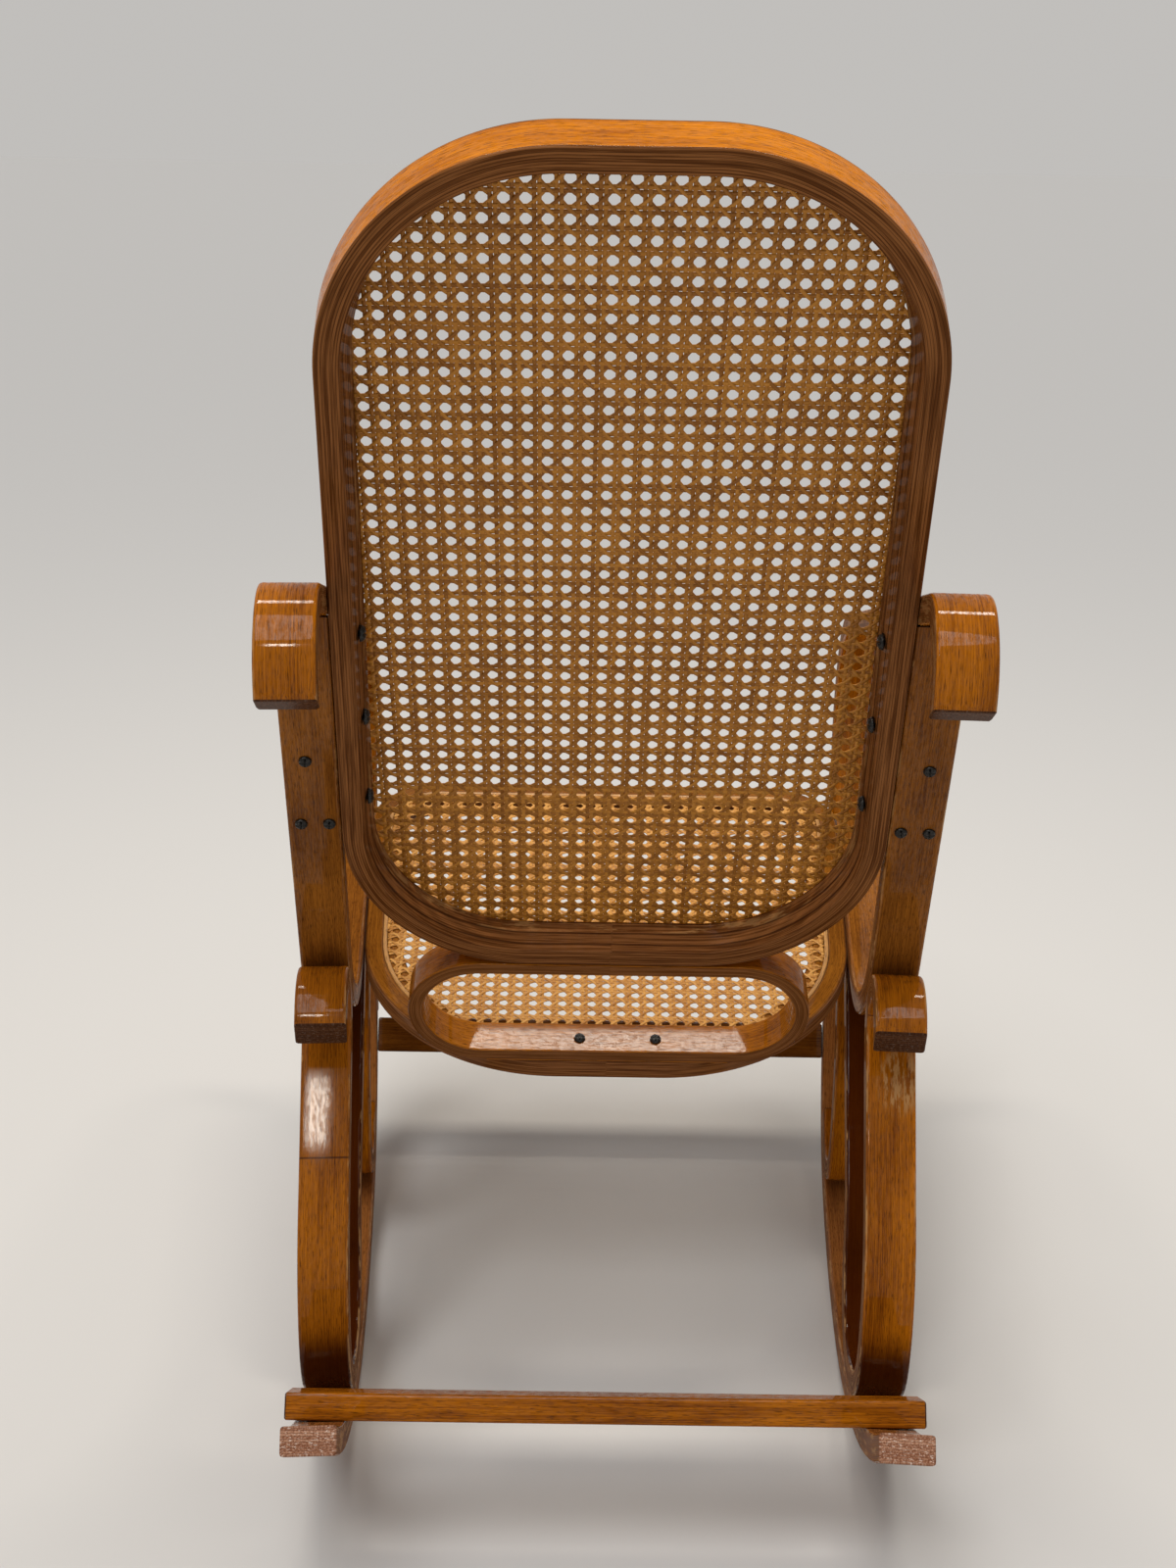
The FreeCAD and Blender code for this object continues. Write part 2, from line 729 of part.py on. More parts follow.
foot_line_left = [("line", (-val("spacer_foot_half"), spacer_bottom),
                   (-val("spacer_foot_half"), foot_low))]
spacer_sketch = new_sketch(spacer_body, "spacer_outer", "XZ_Plane")
draw(spacer_sketch, chain_of(oval) + foot_line + chain_of(right_end) + foot_line_left)
pad_forward(spacer_body, spacer_sketch, "spacer_pad", "spacer_depth")
spacer_inner = new_sketch(spacer_body, "spacer_inner", "XZ_Plane")
inner_radius = spacer_radius - val("spacer_thickness")
opening = RibbonPath((-spacer_half, spacer_bottom + val("spacer_thickness")), 0.0)
opening.line(2.0 * spacer_half)
opening.arc(inner_radius, HALF_TURN)
opening.line(2.0 * spacer_half)
opening.arc(inner_radius, FULL_TURN)
draw(spacer_inner, chain_of(opening))
pocket_forward(spacer_body, spacer_inner, "spacer_opening", bound("spacer_depth"))
spacer_body.Placement = back_placement
trim = doc.addObject("Part::Box", "seat_plane_trim")
trim.setExpression("Length", "2 * " + bound("spacer_width"))
trim.setExpression("Width", bound("spacer_width"))
trim.setExpression("Height", bound("spacer_width"))
trim_corner = FreeCAD.Vector(-val("spacer_width"), -val("spacer_width") / 2.0, -val("spacer_width"))
trim.Placement = seat_placement.multiply(FreeCAD.Placement(trim_corner, FreeCAD.Rotation()))
trimmed = doc.addObject("Part::Cut", "back_spacer")
trimmed.Base = spacer_body
trimmed.Tool = trim
pieces["back_spacer"] = trimmed


# stretchers

def plank(name, length, centre, tilt):
    """Rounded board across the chair, centred on a point of the side plane."""
    body = new_body(name)
    sketch = new_sketch(body, name + "_section", "YZ_Plane")
    half_wide = val("stretcher_width") / 2.0
    half_high = val("stretcher_thickness") / 2.0
    section = trapezoid(half_wide, half_wide, -half_high, half_high,
                        val("stretcher_round"), val("stretcher_round"))
    draw(sketch, chain_of(section))
    pad = body.newObject("PartDesign::Pad", name + "_pad")
    pad.Profile = sketch
    pad.SideType = "Symmetric"
    pad.setExpression("Length", length)
    doc.recompute()
    turn = FreeCAD.Rotation(FreeCAD.Vector(1, 0, 0), tilt)
    body.Placement = FreeCAD.Placement(
        FreeCAD.Vector(0, centre[0] - val("tail_behind"), centre[1]), turn)
    return body


tail_lean = -math.degrees(math.asin(val("rear_stretcher_behind") / rocker_line))
rear_stand = rocker_top - val("stretcher_thickness") / 2.0 - val("rear_stretcher_lift")
rear_centre = rocker_point(tail_lean, rear_stand)
pieces["rear_stretcher"] = plank("rear_stretcher", bound("rear_stretcher_length"), rear_centre, tail_lean)
front_centre = step(upsweep_centre, left_of(val("front_stretcher_heading")), -val("upsweep_radius"))
front_reach = 2.0 * (inner_half(front_centre[0] - val("stretcher_width") / 2.0) - val("fit_gap"))
pieces["front_stretcher"] = plank("front_stretcher", "%.3f" % front_reach, front_centre,
                                  val("front_stretcher_heading"))


doc.recompute()

# checks and files

for item in doc.Objects:
    if "Invalid" in item.State or "Error" in item.State:
        raise RuntimeError("%s did not build: %s" % (item.Name, item.State))
for name, piece in pieces.items():
    if piece.Shape.isNull() or not piece.Shape.isValid():
        raise RuntimeError("%s has no valid shape" % name)
    if len(piece.Shape.Solids) != 1:
        raise RuntimeError("%s is %d solids" % (name, len(piece.Shape.Solids)))

os.makedirs("parts", exist_ok=True)
whole = FreeCAD.BoundBox()
for name, piece in pieces.items():
    piece.Shape.exportStep("parts/%s.step" % name)
    whole.add(piece.Shape.BoundBox)
    box = piece.Shape.BoundBox
    print("%-20s %8.0f mm3  x %7.1f %7.1f  y %7.1f %7.1f  z %7.1f %7.1f" % (
        name, piece.Shape.Volume, box.XMin, box.XMax, box.YMin, box.YMax, box.ZMin, box.ZMax))
print("whole x %.2f %.2f y %.2f %.2f z %.2f %.2f" % (
    whole.XMin, whole.XMax, whole.YMin, whole.YMax, whole.ZMin, whole.ZMax))
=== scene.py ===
import math

import bmesh
import bpy
from mathutils import Matrix, Vector


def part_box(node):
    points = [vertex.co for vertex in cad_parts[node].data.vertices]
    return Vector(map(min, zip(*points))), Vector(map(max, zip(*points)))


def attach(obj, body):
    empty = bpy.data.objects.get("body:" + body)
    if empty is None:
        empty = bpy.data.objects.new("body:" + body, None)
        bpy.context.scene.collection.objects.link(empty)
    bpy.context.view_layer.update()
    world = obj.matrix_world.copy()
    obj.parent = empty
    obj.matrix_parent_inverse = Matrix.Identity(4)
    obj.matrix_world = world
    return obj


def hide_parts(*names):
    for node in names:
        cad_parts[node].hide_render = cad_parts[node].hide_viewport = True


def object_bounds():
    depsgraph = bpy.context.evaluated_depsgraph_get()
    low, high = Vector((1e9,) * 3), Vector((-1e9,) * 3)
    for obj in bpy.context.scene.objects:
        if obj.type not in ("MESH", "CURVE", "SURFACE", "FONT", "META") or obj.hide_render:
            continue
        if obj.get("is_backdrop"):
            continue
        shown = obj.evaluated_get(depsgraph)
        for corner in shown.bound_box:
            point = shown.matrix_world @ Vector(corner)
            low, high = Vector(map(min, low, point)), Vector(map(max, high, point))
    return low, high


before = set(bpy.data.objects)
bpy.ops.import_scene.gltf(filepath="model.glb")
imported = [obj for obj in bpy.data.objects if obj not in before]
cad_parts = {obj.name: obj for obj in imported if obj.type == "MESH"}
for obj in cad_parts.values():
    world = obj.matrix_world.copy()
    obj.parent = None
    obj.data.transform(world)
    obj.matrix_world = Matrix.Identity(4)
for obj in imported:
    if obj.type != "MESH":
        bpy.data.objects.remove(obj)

bl_info = {
    "name": "Bentwood Rocking Chair",
    "version": (1, 0, 0),
    "blender": (4, 5, 0),
    "location": "3D View > Sidebar > Rocker",
    "description": "Bent ribbon side frames, hoop back, seat ring, woven cane and a plain studio",
    "category": "Add Mesh",
}

CAD_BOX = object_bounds()

# Plan of the chair in metres, forward from the runner tails and up from the floor
TAIL = -0.4149  # the runner tails' place along the chair
ROCKER_FORWARD, ROCKER_RADIUS = 0.430, 0.667
UPSWEEP_RADIUS = 0.190
ARM_SCROLL, ARM_SCROLL_RADIUS = (0.082, 0.697), 0.043
BACK_FOOT = (0.284, 0.400)
RAIL_MIDDLE = (0.436, 0.322)
SEAT_REAR, SEAT_LENGTH = (0.3332, 0.2905), 0.433
HOOP_HEIGHT, HOOP_DEPTH, HOOP_WALL = 0.673, 0.033, 0.016
SPACER_WIDTH, SPACER_HEIGHT, SPACER_DEPTH, SPACER_WALL = 0.325, 0.1190, 0.030, 0.012
SPACER_TOP = -0.0003
CUT_TIP, SCROLL_TIP = 0.005, 0.012  # straight ends before a ribbon's first bend
SEAM = 0.001  # straight on both sides of the place where a ring's grain starts

# Headings along a side frame in degrees, 0 forward and 90 up
TAIL_END, SOLE_END, UPSWEEP = -40.2, 12.5, 72.0
ARM, LEG, UPRIGHT, RAIL = -15.0, -108.0, -65.7, 9.0

# Material slots of a swept piece
FACE, EDGE, END = 0, 1, 2

# Light and dark tones of the pieces that differ from the finish
TONES = {
    # Rail veneer is darker than the finish as painted shade on the rear-facing uprights.
    "Rail veneer": ((0.345, 0.120, 0.015, 1.0), (0.098, 0.028, 0.005, 1.0)),
    "Runner veneer": ((0.40, 0.150, 0.035, 1.0), (0.16, 0.050, 0.014, 1.0)),
    # Left scroll veneer is darker than the right scroll's, as painted shade against the rear left lamp's
    # highlight.
    "Left scroll veneer": ((0.41, 0.127, 0.005, 1.0), (0.108, 0.025, 0.002, 1.0)),
    "Shaded veneer": ((0.20, 0.066, 0.008, 1.0), (0.062, 0.017, 0.002, 1.0)),
    "Hoop veneer": ((0.74, 0.24, 0.006, 1.0), (0.34, 0.088, 0.003, 1.0)),
    "Ring veneer": ((0.32, 0.115, 0.012, 1.0), (0.100, 0.029, 0.004, 1.0)),
    "Spacer veneer": ((0.46, 0.15, 0.008, 1.0), (0.16, 0.042, 0.003, 1.0)),
    "Pale cane": ((0.68, 0.34, 0.08, 1.0), (0.42, 0.17, 0.028, 1.0)),
    "Sawn end": ((0.105, 0.042, 0.018, 1.0), (0.060, 0.022, 0.009, 1.0)),
    "Scuffed end": ((0.45, 0.24, 0.15, 1.0), (0.215, 0.082, 0.042, 1.0)),
}
LAYER_TONES = {
    "Runner edge": (0.205, 0.085, 0.042, 1.0),
    "Hoop laminate": (0.108, 0.035, 0.008, 1.0),
    "Lower ring edge": (0.105, 0.034, 0.008, 1.0),
}


# Sizes and colours a user may change

def length_value(name, description, value):
    return bpy.props.FloatProperty(name=name, description=description, default=value, unit="LENGTH")


def angle_value(name, description, degrees):
    return bpy.props.FloatProperty(
        name=name, description=description, default=math.radians(degrees), subtype="ANGLE")


def colour_value(name, description, value):
    return bpy.props.FloatVectorProperty(
        name=name, description=description, default=value, size=4, min=0.0, max=1.0,
        subtype="COLOR")


class RockerSizes(bpy.types.PropertyGroup):
    ribbon_width: length_value("Ribbon width", "Width of the bent ribbons, across the chair", 0.039)
    ribbon_thickness: length_value("Ribbon thickness", "Thickness of the laminated ribbons", 0.020)
    ribbon_edge: length_value("Ribbon edge", "Radius of the sanded edges of the ribbons", 0.0026)
    lap_gap: length_value("Lap gap", "Glue gap between two ribbons at a lap", 0.0003)
    splay: angle_value("Splay", "How far each side frame turns outwards to the front", 3.72)
    side_offset: length_value("Side offset", "Middle of a side frame at the runner tail", 0.206)
    recline: angle_value("Recline", "Lean of the back", 24.3)
    seat_slope: angle_value("Seat slope", "Rise of the seat to the front", 13.0)
    weave_pitch: length_value("Weave pitch", "Distance from hole to hole in the cane", 0.0127)
    strand_width: length_value("Strand width", "Width of the upright and level strands", 0.00255)
    diagonal_width: length_value("Diagonal width", "Width of the diagonal strands", 0.0023)
    pair_spacing: length_value("Pair spacing", "Half the distance between the strands of a pair", 0.00152)
    screw_head: length_value("Screw head", "Radius of the pan heads", 0.0047)


class RockerFinish(bpy.types.PropertyGroup):
    amber: colour_value("Amber", "Light tone of the lacquered veneer", (0.50, 0.155, 0.005, 1.0))
    chestnut: colour_value("Chestnut", "Dark tone of the lacquered veneer", (0.13, 0.030, 0.002, 1.0))
    laminate: colour_value("Laminate", "Tone of the cut edges of the layers", (0.150, 0.052, 0.011, 1.0))
    pale_layer: colour_value("Pale layer", "Tone of the lightest layers", (0.27, 0.105, 0.032, 1.0))
    glue_line: colour_value("Glue line", "Dark line between two layers", (0.030, 0.009, 0.003, 1.0))
    worn: colour_value("Worn", "Bare wood where an edge has rubbed", (0.50, 0.27, 0.10, 1.0))
    # Straw and rattan colour the back cane, darker than the seat's Pale cane: painted shade on the back seen
    # from behind.
    straw: colour_value("Straw", "Light tone of the cane", (0.56, 0.235, 0.030, 1.0))
    rattan: colour_value("Rattan", "Dark tone of the cane", (0.27, 0.095, 0.008, 1.0))
    reed: colour_value("Reed", "Spline round the seat", (0.56, 0.27, 0.06, 1.0))
    black: colour_value("Black", "Blackened screws", (0.014, 0.013, 0.012, 1.0))
    studio: colour_value("Studio", "Floor and surroundings", (0.63, 0.617, 0.60, 1.0))


def sizes():
    return bpy.context.scene.rocker_sizes


def finish(tone):
    return tuple(getattr(bpy.context.scene.rocker_finish, tone))


# Centre lines: straights and bends in one plane

def way(heading):
    return Vector((math.cos(math.radians(heading)), math.sin(math.radians(heading))))


def left(heading):
    return Vector((-math.sin(math.radians(heading)), math.cos(math.radians(heading))))


class BentLine:
    """Tangent straights and bends. Headings are in degrees, 0 forward and 90 up."""

    def __init__(self, point, heading):
        self.first = Vector(point)
        self.first_heading = heading
        self.point = Vector(point)
        self.heading = heading
        self.runs = []

    def straight(self, length):
        self.runs.append(("straight", length, self.heading, self.point.copy()))
        self.point = self.point + way(self.heading) * length
        return self

    def straight_to(self, target):
        return self.straight((target - self.point).dot(way(self.heading)))

    def bend(self, radius, heading):
        turn = 1.0 if heading > self.heading else -1.0
        centre = self.point + left(self.heading) * turn * radius
        self.runs.append(("bend", radius, self.heading, centre, heading))
        self.point = centre - left(heading) * turn * radius
        self.heading = heading
        return self

    def straight_and_bend(self, radius, heading, target):
        """Straight on until the bend ends on the line through target."""
        turn = 1.0 if heading > self.heading else -1.0
        normal = left(heading)
        offset = (self.point - target).dot(normal)
        offset += turn * radius * (left(self.heading).dot(normal) - 1.0)
        self.straight(-offset / way(self.heading).dot(normal))
        return self.bend(radius, heading)


def crossing(point, heading, other, other_heading):
    normal = left(other_heading)
    return point + way(heading) * ((other - point).dot(normal) / way(heading).dot(normal))


# Sweeping a section along a line

def rounded(corners, radii, steps=3):
    """A section with its corners rounded. radii is one radius or one per corner."""
    count = len(corners)
    if not isinstance(radii, (list, tuple)):
        radii = [radii] * count
    points = []
    for number, corner in enumerate(corners):
        here = Vector(corner)
        radius = radii[number]
        if radius <= 0.0:
            points.append(tuple(here))
            continue
        before = (Vector(corners[number - 1]) - here).normalized()
        after = (Vector(corners[(number + 1) % count]) - here).normalized()
        half = before.angle(after) / 2.0
        back = radius / math.tan(half)
        start = here + before * back
        end = here + after * back
        for step in range(steps + 1):
            share = step / steps
            spot = start * (1 - share) ** 2 + here * 2 * share * (1 - share) + end * share ** 2
            points.append(tuple(spot))
    return points


def spin_steps(run, bend_step):
    """One run of a line as equal steps: angle, centre, move and length of each."""
    longest, shortest = 0.016, 1e-7
    if run[0] == "straight":
        if run[1] < shortest:
            return []
        steps = int(math.ceil(run[1] / longest))
        move = way(run[2]) * run[1] / steps
        return [(0.0, (0, 0, 0), (move.x, move.y, 0.0), run[1] / steps)] * steps
    turn = run[4] - run[2]
    steps = max(2, int(math.ceil(abs(turn) / bend_step)))
    angle = math.radians(turn) / steps
    return [(angle, (run[3].x, run[3].y, 0.0), (0, 0, 0), abs(angle) * run[1])] * steps


def round_ends(bm, caps):
    """Chamfer the rims of the end faces, each given with the direction into the wood."""
    chamfer = 0.0012
    ends = [cap for cap, inward in caps]
    for cap, inward in caps:
        inward = Vector((inward.x, inward.y, 0.0))
        rise = chamfer * abs(inward.dot(cap.normal))
        bmesh.ops.translate(bm, vec=inward * chamfer, verts=cap.verts)
        ends += bmesh.ops.inset_region(
            bm, faces=[cap], thickness=chamfer, depth=rise, use_even_offset=True)["faces"]
    return ends


def sweep(line, section, seed, slant=None, loop=False, bend_step=3.0, flat=0.75):
    """Carry a section (inset, rise) along a line with spins. The vertex attribute
    "grain" keeps the distance along, across and through the piece."""
    bm = bmesh.new()
    grain = bm.verts.layers.float_vector.new("grain")
    side = left(line.first_heading)
    ahead = way(line.first_heading)
    ring = []
    for inset, rise in section:
        spot = line.first + side * inset
        if slant is not None:
            spot = spot + ahead * (inset / math.tan(math.radians(slant - line.first_heading)))
        vert = bm.verts.new((spot.x, spot.y, rise))
        vert[grain] = (seed, rise, inset)
        ring.append(vert)
    edges = [bm.edges.new((ring[i - 1], ring[i])) for i in range(len(ring))]
    square_up = slant is not None
    along = seed
    for run in line.runs:
        for angle, centre, move, length in spin_steps(run, bend_step):
            made = bmesh.ops.spin(
                bm, geom=edges, cent=centre, axis=(0, 0, 1), dvec=move, angle=angle,
                steps=1, use_merge=False, use_normal_flip=False, use_duplicate=False)
            edges = [item for item in made["geom_last"] if isinstance(item, bmesh.types.BMEdge)]
            along += length
            for vert in {v for edge in edges for v in edge.verts}:
                vert[grain] = (along, vert[grain].y, vert[grain].z)
                if square_up:
                    lead = vert[grain].z / math.tan(math.radians(slant - line.first_heading))
                    vert.co -= Vector((ahead.x, ahead.y, 0.0)) * lead
            square_up = False
    ends = []
    if loop:
        bmesh.ops.remove_doubles(bm, verts=bm.verts, dist=2e-5)
    else:
        ends = [bm.faces.new(ring)] + bmesh.ops.contextual_create(bm, geom=edges)["faces"]
    bmesh.ops.recalc_face_normals(bm, faces=bm.faces)
    ends = round_ends(bm, list(zip(ends, (ahead, way(line.heading) * -1.0))))
    for face in bm.faces:
        face.smooth = True
        face.material_index = EDGE if abs(face.normal.z) > flat else FACE
    for face in ends:
        face.material_index = END
    return bm


def settle(bm, name, matrix, materials, slot, *nodes, weighted=True):
    """Turn a bmesh into a finished piece that rides on the chair."""
    bmesh.ops.transform(bm, matrix=matrix, verts=bm.verts)
    mesh = bpy.data.meshes.new(name)
    bm.to_mesh(mesh)
    bm.free()
    for material in materials:
        mesh.materials.append(material)
    piece = bpy.data.objects.new(name, mesh)
    bpy.context.scene.collection.objects.link(piece)
    if weighted:
        smooth = piece.modifiers.new("Even shading", "WEIGHTED_NORMAL")
        smooth.weight = 60
        smooth.keep_sharp = True
    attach(piece, "root")
    if nodes:
        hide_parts(*nodes)
    return piece


# Places of the chair's planes

STAND_UP = Matrix(((0, 0, 1, 0), (1, 0, 0, 0), (0, 1, 0, 0), (0, 0, 0, 1)))


def side_place(sign):
    turn = Matrix.Rotation(-sign * sizes().splay, 4, "Z")
    return Matrix.Translation((sign * sizes().side_offset, TAIL, 0.0)) @ turn @ STAND_UP


def back_place():
    foot = Matrix.Translation((0.0, TAIL + BACK_FOOT[0], BACK_FOOT[1]))
    return foot @ Matrix.Rotation(sizes().recline, 4, "X") @ Matrix.Rotation(math.pi / 2, 4, "X")


def seat_place():
    rear = Matrix.Translation((0.0, TAIL + SEAT_REAR[0], SEAT_REAR[1]))
    return rear @ Matrix.Rotation(sizes().seat_slope, 4, "X")


def inner_half(forward):
    """Half the width between the side frames, at a place along the chair."""
    across = sizes().ribbon_width / 2.0 / math.cos(sizes().splay)
    return sizes().side_offset - across + math.tan(sizes().splay) * forward


def hoop_halves():
    """Half the hoop's width at its foot and at its top."""
    top = BACK_FOOT[0] - HOOP_HEIGHT * math.sin(sizes().recline)
    return inner_half(BACK_FOOT[0]) - sizes().lap_gap, inner_half(top) - sizes().lap_gap


# The ribbons' centre lines

def ribbon_lines():
    """Each ribbon's centre line, and the heading its first end is cut along, or None."""
    half = sizes().ribbon_thickness / 2.0
    gap = sizes().lap_gap
    lap = 2.0 * half + gap
    lines = {}

    rocker = Vector((ROCKER_FORWARD, ROCKER_RADIUS))
    sole = ROCKER_RADIUS - half
    top = ROCKER_RADIUS - 2.0 * half
    tail_tip, upsweep_length = 0.0038, 0.069
    start = rocker - left(TAIL_END) * sole
    runner = BentLine(start - way(TAIL_END) * tail_tip, TAIL_END)
    runner.straight(tail_tip).bend(sole, SOLE_END)
    runner.bend(UPSWEEP_RADIUS, UPSWEEP).straight(upsweep_length)
    lines["runner"] = (runner, None)
    upsweep = rocker - left(SOLE_END) * sole + left(SOLE_END) * UPSWEEP_RADIUS
    upsweep_end = upsweep - left(UPSWEEP) * UPSWEEP_RADIUS

    # the arm falls from its scroll to the front and turns down as the front leg
    curl, knee_radius = 92.0, 0.120
    arm_foot = upsweep_end - left(UPSWEEP) * lap
    tip = Vector(ARM_SCROLL) + left(curl) * ARM_SCROLL_RADIUS - way(curl) * SCROLL_TIP
    arm = BentLine(tip, curl)
    arm.straight(SCROLL_TIP).bend(ARM_SCROLL_RADIUS, ARM)
    arm_start = arm.point.copy()
    arm.straight_and_bend(knee_radius, LEG, arm_foot).straight_to(arm_foot + way(LEG) * CUT_TIP)
    lines["arm"] = (arm, 150.0)

    # the side rail is the upright, the waist and the seat rail with its hooked front end
    waist_radius, hook_radius, hook_length = 0.140, 0.055, 0.063
    upright = Vector(BACK_FOOT) + left(UPRIGHT) * half
    rail = Vector(RAIL_MIDDLE)
    under_arm = arm_start - left(ARM) * (half + gap)
    side = BentLine(crossing(upright, UPRIGHT, under_arm, ARM), UPRIGHT)
    side.straight_and_bend(waist_radius, RAIL, rail)
    waist = side.runs[-1][3]
    side.straight_and_bend(hook_radius, LEG, upsweep_end).straight(hook_length)
    lines["side_rail"] = (side, ARM)

    # the arm brace runs back under the arm and turns down in front of the upright
    brace_front, brace_radius, brace_length = 0.365, 0.045, 0.100
    backward = ARM + 180.0
    arm_lap = arm_start - left(ARM) * lap
    start = arm_lap + way(ARM) * ((brace_front - arm_lap.x) / math.cos(math.radians(-ARM)))
    brace = BentLine(start - way(backward) * CUT_TIP, backward)
    brace.straight_and_bend(brace_radius, UPRIGHT + 360.0, upright + left(UPRIGHT) * lap)
    brace.straight(brace_length)
    lines["arm_brace"] = (brace, None)

    # the lower scroll curls behind the waist, rests on the runner and rises to the rail
    curl, fall, steep, rise, slope = 56.0, -128.0, -80.0, 78.0, 44.0
    curl_radius, belly_radius, heel_radius, rise_radius, rail_radius = 0.036, 0.130, 0.072, 0.110, 0.060
    below_waist, resting, scroll_lap, brace_lap = 211.05, 2.5, 0.045, 0.035
    rail_lap = rail - left(RAIL) * lap
    scroll = waist + way(below_waist) * (waist_radius + curl_radius + 2.0 * half + gap)
    lower = BentLine(scroll + left(curl) * curl_radius - way(curl) * SCROLL_TIP, curl)
    lower.straight(SCROLL_TIP).bend(curl_radius, fall)
    # the next straight is as long as brings the heel to rest on the runner
    contact = top - gap - heel_radius - half
    begin = (lower.point + left(fall) * belly_radius
             + left(steep) * (heel_radius - belly_radius) - rocker)
    beside = begin.dot(way(fall))
    length = -beside + math.sqrt(beside * beside - (begin.dot(begin) - contact * contact))
    lower.straight(length).bend(belly_radius, steep)
    out = lower.point + left(steep) * heel_radius - rocker
    touch = math.degrees(math.atan2(out.y, out.x)) + 90.0
    lower.bend(heel_radius, touch).bend(top - gap - half, touch + resting)
    lower.bend(heel_radius, rise).bend(rise_radius, slope)
    lower.straight_and_bend(rail_radius, RAIL, rail_lap).straight(scroll_lap)
    lines["lower_scroll"] = (lower, 114.0)

    # the front brace runs back down the upsweep, turns up and then forward under the rail
    down, along_runner, plumb, leaning = 217.65, 205.65, 90.0, 60.0
    turn_radius, plumb_top, bow_radius = 0.050, 0.140, 0.150
    radius = UPSWEEP_RADIUS - lap
    front = BentLine(upsweep + left(down) * radius - way(down) * CUT_TIP, down)
    front.straight(CUT_TIP).bend(radius, along_runner).bend(turn_radius, plumb)
    front.straight(plumb_top - front.point.y).bend(bow_radius, leaning)
    front.straight_and_bend(rail_radius, RAIL, rail_lap).straight(brace_lap)
    lines["front_brace"] = (front, None)
    return lines


def ring_line(bottom_half, top_half, height, low_radius, high_radius, inset):
    """Rounded trapezoid, run round once from the middle of its lower edge."""
    upward = 90.0 + math.degrees(math.atan2(bottom_half - top_half, height))
    foot = Vector((bottom_half, 0.0)) + left(upward) * inset
    low, high = inset, height - inset
    low_radius -= inset
    high_radius -= inset
    low_corner = crossing(foot, upward, Vector((0.0, low)), 0.0)
    high_corner = crossing(foot, upward, Vector((0.0, high)), 0.0)
    low_back = low_radius * math.tan(math.radians(upward / 2.0))
    high_back = high_radius * math.tan(math.radians((180.0 - upward) / 2.0))
    low_half = low_corner.x - low_back
    high_half = high_corner.x - high_back
    side = (high_corner - low_corner).length - low_back - high_back
    line = BentLine((0.0, low), 0.0)
    line.straight(SEAM).straight(low_half - SEAM).bend(low_radius, upward)
    line.straight(side).bend(high_radius, 180.0).straight(2.0 * high_half)
    line.bend(high_radius, 360.0 - upward).straight(side)
    line.bend(low_radius, 360.0).straight(low_half - SEAM).straight(SEAM)
    return line


def hoop_line(inset=0.0):
    bottom, top = hoop_halves()
    return ring_line(bottom, top, HOOP_HEIGHT, 0.135, 0.150, inset)


def seat_line(inset=0.0):
    front_end = SEAT_REAR[0] + SEAT_LENGTH * math.cos(sizes().seat_slope)
    rear = inner_half(SEAT_REAR[0]) - sizes().lap_gap
    front = inner_half(front_end) - sizes().lap_gap
    return ring_line(rear, front, SEAT_LENGTH, 0.175, 0.065, inset)


def spacer_line():
    radius = SPACER_HEIGHT / 2.0
    half = SPACER_WIDTH / 2.0 - radius
    line = BentLine((0.0, SPACER_TOP), 180.0)
    line.straight(SEAM).straight(half - SEAM).bend(radius, 360.0)
    line.straight(2.0 * half).bend(radius, 540.0)
    return line.straight(half - SEAM).straight(SEAM)


# Shader node groups

